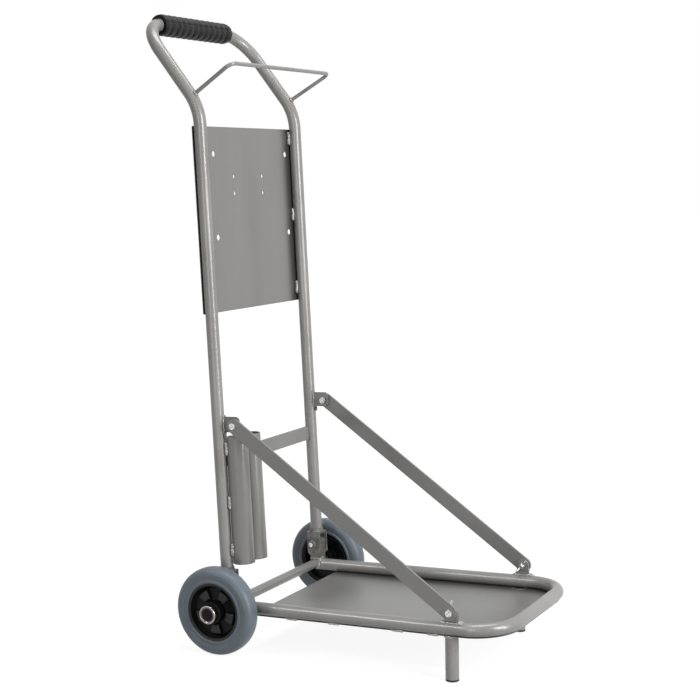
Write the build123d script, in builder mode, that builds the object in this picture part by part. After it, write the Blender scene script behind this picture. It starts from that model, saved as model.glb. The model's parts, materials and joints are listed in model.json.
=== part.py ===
from build123d import *
import os
from math import atan2, cos, degrees, hypot, radians, sin, tan

os.makedirs("parts", exist_ok=True)

# Hand truck with a folding tray. Millimetres, +Z up, the nose toward -Y and the grip toward +Y.
# Left is -X and right is +X, as seen from in front of the nose.
# The truck is laid out square in its own frame and then leans back about the axle:
# x along the axle, v backward, w upward along the uprights, all from the axle's centre.

# ---- driving dimensions ------------------------------------------------------------------

LEAN = 2.0  # degrees the square layout leans back
TUBE_R = 12.7  # 1 inch steel tube, used for the handle and the tray frame
TUBE_WALL = 1.5

# handle tube
UPRIGHT_X = 180.6  # half the distance between the uprights' centre lines
UPRIGHT_FOOT = 71.0  # where the uprights end, on the clevises
SHOULDER = 995.7  # height of the bend where the arms start to slant back
SHOULDER_BEND = 110.0
GRIP_BACK = 127.65
GRIP_HEIGHT = 1171.8
CORNER_BEND = 72.0

# rubber grip
GRIP_LENGTH = 240.0
GRIP_CORE_R = 19.0
RIB_R = 22.0
RIB_COUNT = 12
RIB_PITCH = 19.8
RIB_WIDTH = 17.0
RIB_ROUND = 4.4

# back plate
PLATE_WIDTH = 378.4
PLATE_HEIGHT = 371.0  # down from where the uprights start to bend
PLATE_T = 2.0
PLATE_CORNER = 3.0
LARGE_HOLE_R = 6.0
LARGE_HOLES = (16.95, -137.6)  # centre of the large hole pattern, from the top edge
LARGE_PITCH = (274.9, 167.0)
SMALL_HOLE_R = 4.0
SMALL_HOLES = (2.95, -116.75)  # centre of the small hole pattern, from the top edge
SMALL_PITCH = (108.3, 34.3)
PLATE_WELDS = (31.0, 176.0, 326.0)  # lower ends of the stitch welds, up the plate
PLATE_WELD_LENGTH = 22.0
PLATE_WELD_WIDTH = 11.0
PLATE_WELD_TOE = 1.0

# wire loop
LOOP_R = 4.0
LOOP_UP_ARM = 27.0  # up the arms' centre lines from the shoulder to the loop's ends
LOOP_REACH = 103.0  # forward of its ends
LOOP_RISE = 54.5  # above its ends
LOOP_HALF = 191.0
LOOP_BEND = 15.0

# cross strap
STRAP_BOTTOM = 280.0
STRAP_DEPTH = 30.0
STRAP_T = 5.0

# holder pipes
PIPE_R = 22.2
PIPE_WALL = 2.0
PIPE_ABOVE_FOOT = 14.0  # over the uprights' lower ends
PIPE_BELOW_LUG = 11.0
PIPE_TURN = -58.9  # way from the upright to the first pipe, in degrees
PAIR_TURN = -1.4  # way from the first pipe to the second
PIPE_WELDS = (19.0, 115.0, 224.0)  # lower ends of the beads, up the pipes
PAIR_WELDS = (30.0, 221.0)
PIPE_WELD_LENGTH = 16.0
PIPE_WELD_WIDTH = 7.0
PIPE_WELD_DEPTH = 18.0

# braces and their lugs
BRACE_DEPTH = 30.0
BRACE_T = 5.0
UPPER_PIVOT = (-38.5, 366.6)
LOWER_PIVOT = (-492.9, 29.7)
LUG_X = 175.8  # inner face of the lugs
LUG_T = 5.0
UPPER_LUG_BELOW = 13.6  # edges of the upper lug, from its pivot
UPPER_LUG_ABOVE = 17.4
UPPER_LUG_AHEAD = 9.5
UPPER_LUG_CHAMFER = 5.0
LOWER_LUG_WIDTH = 26.0
WASHER_R = 8.0
WASHER_T = 1.0

# M8 brace bolts
BOLT_R = 4.0
BOLT_HEAD_R = 7.5  # across the corners
BOLT_HEAD_T = 5.3
NUT_T = 7.9
BOLT_STICKOUT = 2.5

# wing nuts
WING_HUB_R = 7.0
WING_HUB_T = 8.0
WING_SPAN = 38.0
WING_HEIGHT = 18.0
WING_ROOT = 1.5  # from the lug's face to where the wings start
WING_TIP = 5.3  # width of the wings' ends
WING_T = 3.0
WING_TURN_LEFT = -22.0  # how far each nut happened to be turned when it came tight
WING_TURN_RIGHT = 43.0

# clevis hinges
HINGE_HEIGHT = 45.0  # hinge line above the axle
CLEVIS_GAP = 25.4
CLEVIS_T = 4.0
CLEVIS_HALF = 16.0
EAR_BOTTOM = 19.0
EAR_CHAMFER = 5.0
POST_WIDTH = 24.8
POST_HALF = 12.0
HINGE_BOLT_R = 5.0
HINGE_HEAD_R = 9.2
HINGE_HEAD_T = 6.0
HINGE_NUT_T = 8.0
HINGE_WASHER_R = 12.0
HINGE_WASHER_T = 2.0

# tray
RAIL_X = 176.0
RAIL_DROP = -3.0  # the rails' centre line below the axle's
NOSE_REACH = -591.5
NOSE_BEND = 78.0
PAN_T = 1.5
PAN_OVERLAP = 5.0  # how far the sheet runs out beyond the tube's centre line
PAN_REAR = -52.0

# feet
FOOT_X = 166.3
FOOT_REACH = 487.1  # forward of the axle, level with the floor
FOOT_R = 13.0
FOOT_WALL = 1.5
FOOT_CAP_T = 4.0
FOOT_PLUG_LENGTH = 12.0

# axle and wheels
AXLE_R = 10.0
WHEEL_R = 88.9
WHEEL_X = 224.5
TYRE_HALF = 19.05
TYRE_SHOULDER = 12.0
RING_R = 62.5  # middle of the raised ring moulded beside the rim
RING_WIDE = 5.0
RING_HIGH = 1.2
RING_SHARE = 0.3  # where the ring's foot lies between the rim's face and the full width
SEAT_R = 58.5
RIM_HALF = 17.0
LIP_WIDE = 4.0
LIP_DEEP = 3.0
RIM_INNER_R = 50.0
DISH_R = 46.0
WEB_HALF = 4.0
PAD_HEIGHT = 7.0
PAD_INNER_R = 24.5
PAD_COUNT = 5
PAD_SWEEP = 33.0  # degrees each pad covers
PAD_START = 54.0
PAD_EDGE = 1.2
HUB_R = 22.2
HUB_EDGE = 1.5
HUB_OUT = 24.0
HUB_IN = 20.0
SPACER_R = 12.5
CAP_R = 19.0
CAP_OUT = 13.0
CAP_SEAT = 7.2  # how far the axle stands into the cap
CAP_EDGE = 3.5
CAP_FACE_R = 14.0
CAP_FACE_DEEP = 1.2

# named clearances
RUNNING_FIT = 0.05
SIDE_PLAY = 0.2
END_PLAY = 0.3
PLUG_FIT = 0.05
WELD_GAP = 0.3

# ---- the leaning frame -------------------------------------------------------------------

lean_sin = sin(radians(LEAN))
lean_cos = cos(radians(LEAN))
grip_rear = GRIP_BACK * lean_cos + GRIP_HEIGHT * lean_sin + RIB_R
nose_front = NOSE_REACH * lean_cos + RAIL_DROP * lean_sin - TUBE_R
AXLE_Y = -(grip_rear + nose_front) / 2  # puts the origin at the middle of the footprint

FRAME = Plane(origin=(0, AXLE_Y, WHEEL_R), x_dir=(1, 0, 0), z_dir=(0, lean_sin, lean_cos))


def at(x, v, w):
    """A point given in the truck's own frame."""
    return FRAME.from_local_coords(Vector(x, v, w))


def level(w):
    """Plane square to the uprights: x to the right, y backward."""
    return FRAME.offset(w)


def side(x):
    """Plane square to the axle: x backward, y up along the uprights."""
    return Plane(origin=at(x, 0, 0), x_dir=FRAME.y_dir, z_dir=(1, 0, 0))


def front(v):
    """Plane facing the nose: x to the right, y up along the uprights."""
    return Plane(origin=at(0, v, 0), x_dir=(1, 0, 0), z_dir=-FRAME.y_dir)


# ---- handle tube -------------------------------------------------------------------------

# One tube runs up one side, over the shoulders, across the grip and down the other side.
with BuildLine() as handle_path:
    FilletPolyline(
        at(-UPRIGHT_X, 0, UPRIGHT_FOOT),
        at(-UPRIGHT_X, 0, SHOULDER),
        at(-UPRIGHT_X, GRIP_BACK, GRIP_HEIGHT),
        at(UPRIGHT_X, GRIP_BACK, GRIP_HEIGHT),
        at(UPRIGHT_X, 0, SHOULDER),
        at(UPRIGHT_X, 0, UPRIGHT_FOOT),
        radius=[SHOULDER_BEND, CORNER_BEND, CORNER_BEND, SHOULDER_BEND],
    )

with BuildPart() as handle_tube:
    with BuildSketch(level(UPRIGHT_FOOT)):
        with Locations((-UPRIGHT_X, 0)):
            Circle(TUBE_R)
            Circle(TUBE_R - TUBE_WALL, mode=Mode.SUBTRACT)
    sweep(path=handle_path.wire())
handle_tube.part.label = "handle_tube"
export_step(handle_tube.part, "parts/handle_tube.step")

# The same run filled in. It cuts the saddles of whatever is welded to the tube.
with BuildPart() as handle_core:
    with BuildSketch(level(UPRIGHT_FOOT)):
        with Locations((-UPRIGHT_X, 0)):
            Circle(TUBE_R)
    sweep(path=handle_path.wire())

# ---- handle grip -------------------------------------------------------------------------

# The ribbed sleeve reaches a little way round the corners, so its bore follows the tube.
with BuildPart() as handle_grip:
    with BuildSketch(front(GRIP_BACK)):
        with Locations((0, GRIP_HEIGHT + GRIP_CORE_R / 2)):
            Rectangle(GRIP_LENGTH, GRIP_CORE_R)
        with Locations((0, GRIP_HEIGHT + (TUBE_R + RIB_R) / 2)):
            with GridLocations(RIB_PITCH, 0, RIB_COUNT, 1):
                RectangleRounded(RIB_WIDTH, RIB_R - TUBE_R, RIB_ROUND)
    revolve(axis=Axis(at(0, GRIP_BACK, GRIP_HEIGHT), (1, 0, 0)))
    add(handle_core.part, mode=Mode.SUBTRACT)
handle_grip.part.label = "handle_grip"
export_step(handle_grip.part, "parts/handle_grip.step")

# ---- back plate --------------------------------------------------------------------------

# The sheet lies against the backs of the uprights and is stitch welded along them.
shoulder_turn = atan2(GRIP_BACK, GRIP_HEIGHT - SHOULDER)
plate_top = SHOULDER - SHOULDER_BEND * tan(shoulder_turn / 2)
with BuildPart() as back_plate:
    with BuildSketch(front(TUBE_R)):
        with Locations((0, plate_top - PLATE_HEIGHT / 2)):
            RectangleRounded(PLATE_WIDTH, PLATE_HEIGHT, PLATE_CORNER)
        with Locations((LARGE_HOLES[0], plate_top + LARGE_HOLES[1])):
            with GridLocations(LARGE_PITCH[0], LARGE_PITCH[1], 2, 2):
                Circle(LARGE_HOLE_R, mode=Mode.SUBTRACT)
        with Locations((SMALL_HOLES[0], plate_top + SMALL_HOLES[1])):
            with GridLocations(SMALL_PITCH[0], SMALL_PITCH[1], 2, 2):
                Circle(SMALL_HOLE_R, mode=Mode.SUBTRACT)
    extrude(amount=-PLATE_T)
back_plate.part.label = "back_plate"
export_step(back_plate.part, "parts/back_plate.step")

# A stitch fills the crevice between the round tube and the flat sheet.
weld_toe = PLATE_WELD_WIDTH - PLATE_WELD_TOE
crevice = (TUBE_R**2 - weld_toe**2) ** 0.5
with BuildPart() as plate_welds:
    for weld in PLATE_WELDS:
        with BuildSketch(level(plate_top - PLATE_HEIGHT + weld)):
            for sign in (-1, 1):
                with BuildLine():
                    Polyline(
                        (sign * UPRIGHT_X, TUBE_R),
                        (sign * (UPRIGHT_X - PLATE_WELD_WIDTH), TUBE_R),
                        (sign * (UPRIGHT_X - weld_toe), crevice),
                        (sign * UPRIGHT_X, 0),
                        close=True,
                    )
                make_face()
        extrude(amount=PLATE_WELD_LENGTH)
    add(handle_core.part, mode=Mode.SUBTRACT)
plate_welds.part.label = "plate_welds"
export_step(plate_welds.part, "parts/plate_welds.step")

# ---- wire loop ---------------------------------------------------------------------------

# The ends start on the arms' centre lines and are cut back to the tubes' skins.
foot_v = LOOP_UP_ARM * sin(shoulder_turn)
foot_w = SHOULDER + LOOP_UP_ARM * cos(shoulder_turn)
with BuildLine() as loop_path:
    FilletPolyline(
        at(-UPRIGHT_X, foot_v, foot_w),
        at(-LOOP_HALF, foot_v - LOOP_REACH, foot_w + LOOP_RISE),
        at(LOOP_HALF, foot_v - LOOP_REACH, foot_w + LOOP_RISE),
        at(UPRIGHT_X, foot_v, foot_w),
        radius=LOOP_BEND,
    )
with BuildPart() as loop_hook:
    with BuildSketch(Plane(origin=loop_path.line @ 0, z_dir=loop_path.line % 0)):
        Circle(LOOP_R)
    sweep(path=loop_path.wire())
    add(handle_core.part, mode=Mode.SUBTRACT)
loop_hook.part.label = "loop_hook"
export_step(loop_hook.part, "parts/loop_hook.step")

# ---- cross strap -------------------------------------------------------------------------

with BuildPart() as cross_strap:
    with BuildSketch(level(STRAP_BOTTOM)):
        Rectangle(2 * UPRIGHT_X, STRAP_T)
    extrude(amount=STRAP_DEPTH)
    add(handle_core.part, mode=Mode.SUBTRACT)
cross_strap.part.label = "cross_strap"
export_step(cross_strap.part, "parts/cross_strap.step")

# ---- holder pipes ------------------------------------------------------------------------

# Two open pipes stand side by side in front of the left upright, between foot and lug.
pipe_turn = radians(PIPE_TURN)
pair_turn = radians(PAIR_TURN)
pipe_step = TUBE_R + WELD_GAP + PIPE_R
pair_step = 2 * PIPE_R + WELD_GAP
pipe_1 = (pipe_step * cos(pipe_turn) - UPRIGHT_X, pipe_step * sin(pipe_turn))
pipe_2 = (pipe_1[0] + pair_step * cos(pair_turn), pipe_1[1] + pair_step * sin(pair_turn))
pipe_bottom = UPRIGHT_FOOT + PIPE_ABOVE_FOOT
pipe_length = UPPER_PIVOT[1] - UPPER_LUG_BELOW - PIPE_BELOW_LUG - pipe_bottom

with BuildPart() as holder_pipe_outer:
    with BuildSketch(level(pipe_bottom)):
        with Locations(pipe_1):
            Circle(PIPE_R)
            Circle(PIPE_R - PIPE_WALL, mode=Mode.SUBTRACT)
    extrude(amount=pipe_length)
holder_pipe_outer.part.label = "holder_pipe_outer"
export_step(holder_pipe_outer.part, "parts/holder_pipe_outer.step")

with BuildPart() as holder_pipe_inner:
    with BuildSketch(level(pipe_bottom)):
        with Locations(pipe_2):
            Circle(PIPE_R)
            Circle(PIPE_R - PIPE_WALL, mode=Mode.SUBTRACT)
    extrude(amount=pipe_length)
holder_pipe_inner.part.label = "holder_pipe_inner"
export_step(holder_pipe_inner.part, "parts/holder_pipe_inner.step")

# Beads fill the crevices where the round walls come together.
upright_seam = TUBE_R + WELD_GAP / 2
pair_seam = PIPE_R + WELD_GAP / 2
upright_mid = (upright_seam * cos(pipe_turn) - UPRIGHT_X, upright_seam * sin(pipe_turn))
pair_mid = (pipe_1[0] + pair_seam * cos(pair_turn), pipe_1[1] + pair_seam * sin(pair_turn))
with BuildPart() as holder_welds:
    for weld in PIPE_WELDS:
        with BuildSketch(level(pipe_bottom + weld)):
            with Locations(upright_mid):
                Rectangle(PIPE_WELD_WIDTH, PIPE_WELD_DEPTH, rotation=PIPE_TURN)
            with Locations((-UPRIGHT_X, 0)):
                Circle(TUBE_R, mode=Mode.SUBTRACT)
            with Locations(pipe_1):
                Circle(PIPE_R, mode=Mode.SUBTRACT)
        extrude(amount=PIPE_WELD_LENGTH)
    for weld in PAIR_WELDS:
        with BuildSketch(level(pipe_bottom + weld)):
            with Locations(pair_mid):
                Rectangle(PIPE_WELD_WIDTH, PIPE_WELD_DEPTH, rotation=PAIR_TURN)
            with Locations(pipe_1, pipe_2):
                Circle(PIPE_R, mode=Mode.SUBTRACT)
        extrude(amount=PIPE_WELD_LENGTH)
holder_welds.part.label = "holder_welds"
export_step(holder_welds.part, "parts/holder_welds.step")

# ---- upper lugs --------------------------------------------------------------------------

lug_bottom = UPPER_PIVOT[1] - UPPER_LUG_BELOW
lug_top = UPPER_PIVOT[1] + UPPER_LUG_ABOVE
lug_front = UPPER_PIVOT[0] - UPPER_LUG_AHEAD
with BuildPart() as upper_lug_right:
    with BuildSketch(side(LUG_X)):
        with BuildLine():
            Polyline(
                (0, lug_bottom),
                (0, lug_top),
                (lug_front + UPPER_LUG_CHAMFER, lug_top),
                (lug_front, lug_top - UPPER_LUG_CHAMFER),
                (lug_front, lug_bottom + UPPER_LUG_CHAMFER),
                (lug_front + UPPER_LUG_CHAMFER, lug_bottom),
                close=True,
            )
        make_face()
        with Locations(UPPER_PIVOT):
            Circle(BOLT_R, mode=Mode.SUBTRACT)
    extrude(amount=LUG_T)
    add(handle_core.part, mode=Mode.SUBTRACT)
upper_lug_right.part.label = "upper_lug_right"
export_step(upper_lug_right.part, "parts/upper_lug_right.step")

with BuildPart() as upper_lug_left:
    mirror(upper_lug_right.part, about=Plane.YZ)
upper_lug_left.part.label = "upper_lug_left"
export_step(upper_lug_left.part, "parts/upper_lug_left.step")

# ---- upper bolts -------------------------------------------------------------------------

lug_outer = LUG_X + LUG_T
brace_inner = lug_outer + WASHER_T + SIDE_PLAY
brace_outer = brace_inner + BRACE_T
upper_head = brace_outer + SIDE_PLAY
nut_end = LUG_X - NUT_T - BOLT_STICKOUT

with BuildPart() as upper_bolts:
    with BuildSketch(side(nut_end)):
        with Locations(UPPER_PIVOT):
            Circle(BOLT_R)
    extrude(amount=upper_head - nut_end)
    with BuildSketch(side(upper_head)):
        with Locations(UPPER_PIVOT):
            RegularPolygon(BOLT_HEAD_R, 6)
    extrude(amount=BOLT_HEAD_T)
    mirror(about=Plane.YZ)
upper_bolts.part.label = "upper_bolts"
export_step(upper_bolts.part, "parts/upper_bolts.step")

with BuildPart() as upper_nuts:
    with BuildSketch(side(LUG_X)):
        with Locations(UPPER_PIVOT):
            RegularPolygon(BOLT_HEAD_R, 6)
            Circle(BOLT_R, mode=Mode.SUBTRACT)
    extrude(amount=-NUT_T)
    mirror(about=Plane.YZ)
upper_nuts.part.label = "upper_nuts"
export_step(upper_nuts.part, "parts/upper_nuts.step")

with BuildPart() as upper_washers:
    with BuildSketch(side(lug_outer)):
        with Locations(UPPER_PIVOT):
            Circle(WASHER_R)
            Circle(BOLT_R, mode=Mode.SUBTRACT)
    extrude(amount=WASHER_T)
    mirror(about=Plane.YZ)
upper_washers.part.label = "upper_washers"
export_step(upper_washers.part, "parts/upper_washers.step")

# ---- braces ------------------------------------------------------------------------------

brace_run = (UPPER_PIVOT[0] - LOWER_PIVOT[0], UPPER_PIVOT[1] - LOWER_PIVOT[1])
brace_mid = ((UPPER_PIVOT[0] + LOWER_PIVOT[0]) / 2, (UPPER_PIVOT[1] + LOWER_PIVOT[1]) / 2)
with BuildPart() as brace_right:
    with BuildSketch(side(brace_inner)):
        with Locations(brace_mid):
            SlotCenterToCenter(hypot(*brace_run), BRACE_DEPTH, rotation=degrees(atan2(*brace_run[::-1])))
        with Locations(UPPER_PIVOT):
            Circle(BOLT_R + RUNNING_FIT, mode=Mode.SUBTRACT)
        with Locations(LOWER_PIVOT):
            Circle(BOLT_R, mode=Mode.SUBTRACT)
    extrude(amount=BRACE_T)
brace_right.part.label = "brace_right"
export_step(brace_right.part, "parts/brace_right.step")

with BuildPart() as brace_left:
    mirror(brace_right.part, about=Plane.YZ)
brace_left.part.label = "brace_left"
export_step(brace_left.part, "parts/brace_left.step")

# The lower bolts part from their threaded ends at the faces between lug and brace,
# because the wing nuts come off before the braces swing up.
bolt_part = (lug_outer + brace_inner) / 2
with BuildPart() as lower_bolt_right:
    with BuildSketch(side(bolt_part + END_PLAY / 2)):
        with Locations(LOWER_PIVOT):
            Circle(BOLT_R)
    extrude(amount=brace_outer - bolt_part - END_PLAY / 2)
    with BuildSketch(side(brace_outer)):
        with Locations(LOWER_PIVOT):
            RegularPolygon(BOLT_HEAD_R, 6)
    extrude(amount=BOLT_HEAD_T)
lower_bolt_right.part.label = "lower_bolt_right"
export_step(lower_bolt_right.part, "parts/lower_bolt_right.step")

with BuildPart() as lower_bolt_left:
    mirror(lower_bolt_right.part, about=Plane.YZ)
lower_bolt_left.part.label = "lower_bolt_left"
export_step(lower_bolt_left.part, "parts/lower_bolt_left.step")

# ---- tray frame --------------------------------------------------------------------------

with BuildLine() as tray_path:
    FilletPolyline(
        at(-RAIL_X, 0, RAIL_DROP),
        at(-RAIL_X, NOSE_REACH, RAIL_DROP),
        at(RAIL_X, NOSE_REACH, RAIL_DROP),
        at(RAIL_X, 0, RAIL_DROP),
        radius=NOSE_BEND,
    )

# The axle's full round, which cuts the saddles of whatever is welded to it.
axle_half = WHEEL_X + HUB_OUT + END_PLAY + CAP_SEAT
with BuildPart() as axle:
    with BuildSketch(side(-axle_half)):
        Circle(AXLE_R)
    extrude(amount=2 * axle_half)
axle.part.label = "axle"
export_step(axle.part, "parts/axle.step")

with BuildPart() as tray_frame:
    with BuildSketch(front(0)):
        with Locations((-RAIL_X, RAIL_DROP)):
            Circle(TUBE_R)
            Circle(TUBE_R - TUBE_WALL, mode=Mode.SUBTRACT)
    sweep(path=tray_path.wire())
    add(axle.part, mode=Mode.SUBTRACT)
tray_frame.part.label = "tray_frame"
export_step(tray_frame.part, "parts/tray_frame.step")

with BuildPart() as tray_core:
    with BuildSketch(front(0)):
        with Locations((-RAIL_X, RAIL_DROP)):
            Circle(TUBE_R)
    sweep(path=tray_path.wire())

# ---- tray pan ----------------------------------------------------------------------------

pan_half = RAIL_X + PAN_OVERLAP
pan_front = NOSE_REACH - PAN_OVERLAP
pan_top = RAIL_DROP - TUBE_R
with BuildPart() as tray_pan:
    with BuildSketch(level(pan_top)):
        with BuildLine():
            FilletPolyline(
                (-pan_half, PAN_REAR),
                (-pan_half, pan_front),
                (pan_half, pan_front),
                (pan_half, PAN_REAR),
                radius=NOSE_BEND + PAN_OVERLAP,
            )
            Line((pan_half, PAN_REAR), (-pan_half, PAN_REAR))
        make_face()
    extrude(amount=-PAN_T)
tray_pan.part.label = "tray_pan"
export_step(tray_pan.part, "parts/tray_pan.step")

# ---- lower lugs and wing nuts ------------------------------------------------------------

with BuildPart() as lower_lug_right:
    with BuildSketch(side(LUG_X)):
        with Locations(LOWER_PIVOT):
            Circle(LOWER_LUG_WIDTH / 2)
        with Locations((LOWER_PIVOT[0], (LOWER_PIVOT[1] + RAIL_DROP) / 2)):
            Rectangle(LOWER_LUG_WIDTH, LOWER_PIVOT[1] - RAIL_DROP)
        with Locations(LOWER_PIVOT):
            Circle(BOLT_R, mode=Mode.SUBTRACT)
    extrude(amount=LUG_T)
    add(tray_core.part, mode=Mode.SUBTRACT)
lower_lug_right.part.label = "lower_lug_right"
export_step(lower_lug_right.part, "parts/lower_lug_right.step")

with BuildPart() as lower_lug_left:
    mirror(lower_lug_right.part, about=Plane.YZ)
lower_lug_left.part.label = "lower_lug_left"
export_step(lower_lug_left.part, "parts/lower_lug_left.step")

lower_end = LUG_X - WING_HUB_T - BOLT_STICKOUT
with BuildPart() as lower_bolt_ends:
    with BuildSketch(side(lower_end)):
        with Locations(LOWER_PIVOT):
            Circle(BOLT_R)
    extrude(amount=bolt_part - END_PLAY / 2 - lower_end)
    mirror(about=Plane.YZ)
lower_bolt_ends.part.label = "lower_bolt_ends"
export_step(lower_bolt_ends.part, "parts/lower_bolt_ends.step")

# Each nut is a round hub with two thumb wings that rise away from the lug.
with BuildPart() as wing_nuts:
    for sign, turn in ((-1, WING_TURN_LEFT), (1, WING_TURN_RIGHT)):
        with BuildSketch(side(sign * LUG_X)):
            with Locations(LOWER_PIVOT):
                Circle(WING_HUB_R)
        extrude(amount=-sign * WING_HUB_T)
        hub = Plane(origin=at(sign * LUG_X, *LOWER_PIVOT), x_dir=(-sign, 0, 0), z_dir=FRAME.y_dir)
        with BuildSketch(hub.rotated((sign * -turn, 0, 0))):
            for way in (-1, 1):
                with BuildLine():
                    Polyline(
                        (WING_ROOT, 0),
                        (WING_HUB_T, 0),
                        (WING_HEIGHT, way * (WING_SPAN / 2 - WING_TIP)),
                        (WING_HEIGHT - WING_TIP / 2, way * WING_SPAN / 2),
                        (WING_HEIGHT / 2, way * WING_SPAN / 2),
                        (WING_ROOT, way * WING_HUB_R),
                        close=True,
                    )
                make_face()
        extrude(amount=WING_T / 2, both=True)
    with BuildSketch(side(-LUG_X)):
        with Locations(LOWER_PIVOT):
            Circle(BOLT_R)
    extrude(amount=2 * LUG_X, mode=Mode.SUBTRACT)
wing_nuts.part.label = "wing_nuts"
export_step(wing_nuts.part, "parts/wing_nuts.step")

# ---- hinge posts -------------------------------------------------------------------------

# A block stands on the axle between the clevis ears, rounded about the hinge line.
with BuildPart() as hinge_post_right:
    with BuildSketch(side(UPRIGHT_X - POST_WIDTH / 2)):
        with Locations((0, HINGE_HEIGHT)):
            Circle(POST_HALF)
        with Locations((0, HINGE_HEIGHT / 2)):
            Rectangle(2 * POST_HALF, HINGE_HEIGHT)
        with Locations((0, HINGE_HEIGHT)):
            Circle(HINGE_BOLT_R + RUNNING_FIT, mode=Mode.SUBTRACT)
    extrude(amount=POST_WIDTH)
    add(axle.part, mode=Mode.SUBTRACT)
    add(tray_core.part, mode=Mode.SUBTRACT)
hinge_post_right.part.label = "hinge_post_right"
export_step(hinge_post_right.part, "parts/hinge_post_right.step")

with BuildPart() as hinge_post_left:
    mirror(hinge_post_right.part, about=Plane.YZ)
hinge_post_left.part.label = "hinge_post_left"
export_step(hinge_post_left.part, "parts/hinge_post_left.step")

# ---- clevises ----------------------------------------------------------------------------

# A folded bracket is welded under each upright. Its two ears straddle the post.
ear_inner = UPRIGHT_X - CLEVIS_GAP / 2 - CLEVIS_T
ear_outer = UPRIGHT_X + CLEVIS_GAP / 2 + CLEVIS_T
with BuildPart() as clevis_right:
    with BuildSketch(side(ear_inner)):
        with BuildLine():
            Polyline(
                (-CLEVIS_HALF, UPRIGHT_FOOT),
                (CLEVIS_HALF, UPRIGHT_FOOT),
                (CLEVIS_HALF, EAR_BOTTOM + EAR_CHAMFER),
                (CLEVIS_HALF - EAR_CHAMFER, EAR_BOTTOM),
                (EAR_CHAMFER - CLEVIS_HALF, EAR_BOTTOM),
                (-CLEVIS_HALF, EAR_BOTTOM + EAR_CHAMFER),
                close=True,
            )
        make_face()
        with Locations((0, HINGE_HEIGHT)):
            Circle(HINGE_BOLT_R, mode=Mode.SUBTRACT)
    extrude(amount=ear_outer - ear_inner)
    with BuildSketch(side(ear_inner + CLEVIS_T)):
        with Locations((0, UPRIGHT_FOOT - CLEVIS_T - HINGE_HEIGHT)):
            Rectangle(2 * CLEVIS_HALF, 2 * HINGE_HEIGHT)
    extrude(amount=CLEVIS_GAP, mode=Mode.SUBTRACT)
clevis_right.part.label = "clevis_right"
export_step(clevis_right.part, "parts/clevis_right.step")

with BuildPart() as clevis_left:
    mirror(clevis_right.part, about=Plane.YZ)
clevis_left.part.label = "clevis_left"
export_step(clevis_left.part, "parts/clevis_left.step")

# The hinge bolts turn with the clevises. Their heads face the wheels.
hinge_nut_face = ear_inner - HINGE_WASHER_T
hinge_end = hinge_nut_face - HINGE_NUT_T - BOLT_STICKOUT
with BuildPart() as hinge_bolts:
    with BuildSketch(side(hinge_end)):
        with Locations((0, HINGE_HEIGHT)):
            Circle(HINGE_BOLT_R)
    extrude(amount=ear_outer - hinge_end)
    with BuildSketch(side(ear_outer)):
        with Locations((0, HINGE_HEIGHT)):
            RegularPolygon(HINGE_HEAD_R, 6)
    extrude(amount=HINGE_HEAD_T)
    mirror(about=Plane.YZ)
hinge_bolts.part.label = "hinge_bolts"
export_step(hinge_bolts.part, "parts/hinge_bolts.step")

with BuildPart() as hinge_nuts:
    with BuildSketch(side(hinge_nut_face)):
        with Locations((0, HINGE_HEIGHT)):
            RegularPolygon(HINGE_HEAD_R, 6)
            Circle(HINGE_BOLT_R, mode=Mode.SUBTRACT)
    extrude(amount=-HINGE_NUT_T)
    mirror(about=Plane.YZ)
hinge_nuts.part.label = "hinge_nuts"
export_step(hinge_nuts.part, "parts/hinge_nuts.step")

with BuildPart() as hinge_washers:
    with BuildSketch(side(ear_inner)):
        with Locations((0, HINGE_HEIGHT)):
            Circle(HINGE_WASHER_R)
            Circle(HINGE_BOLT_R, mode=Mode.SUBTRACT)
    extrude(amount=-HINGE_WASHER_T)
    mirror(about=Plane.YZ)
hinge_washers.part.label = "hinge_washers"
export_step(hinge_washers.part, "parts/hinge_washers.step")

# ---- feet --------------------------------------------------------------------------------

# The feet stand square to the floor and are cut to the slope of the sheet above them.
foot_y = AXLE_Y - FOOT_REACH
with BuildPart() as foot_right:
    with BuildSketch(Plane.XY.offset(FOOT_CAP_T)):
        with Locations((FOOT_X, foot_y)):
            Circle(FOOT_R)
            Circle(FOOT_R - FOOT_WALL, mode=Mode.SUBTRACT)
    extrude(amount=WHEEL_R + FOOT_R)
    split(bisect_by=level(pan_top - PAN_T), keep=Keep.BOTTOM)
foot_right.part.label = "foot_right"
export_step(foot_right.part, "parts/foot_right.step")

with BuildPart() as foot_left:
    mirror(foot_right.part, about=Plane.YZ)
foot_left.part.label = "foot_left"
export_step(foot_left.part, "parts/foot_left.step")

with BuildPart() as foot_cap_right:
    with BuildSketch(Plane.XY):
        with Locations((FOOT_X, foot_y)):
            Circle(FOOT_R)
    extrude(amount=FOOT_CAP_T)
    with BuildSketch(Plane.XY.offset(FOOT_CAP_T)):
        with Locations((FOOT_X, foot_y)):
            Circle(FOOT_R - FOOT_WALL - PLUG_FIT)
    extrude(amount=FOOT_PLUG_LENGTH)
foot_cap_right.part.label = "foot_cap_right"
export_step(foot_cap_right.part, "parts/foot_cap_right.step")

with BuildPart() as foot_cap_left:
    mirror(foot_cap_right.part, about=Plane.YZ)
foot_cap_left.part.label = "foot_cap_left"
export_step(foot_cap_left.part, "parts/foot_cap_left.step")

# ---- wheels ------------------------------------------------------------------------------

# Wheel profiles are drawn as x from the wheel's middle and radius from the axle.
axle_line = Axis(at(0, 0, 0), (1, 0, 0))
pad_far = 2 * DISH_R
pad_slope = tan(radians(PAD_SWEEP / 2))
pad_top = WHEEL_X + WEB_HALF + PAD_HEIGHT
SLIVER = 0.01

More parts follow.
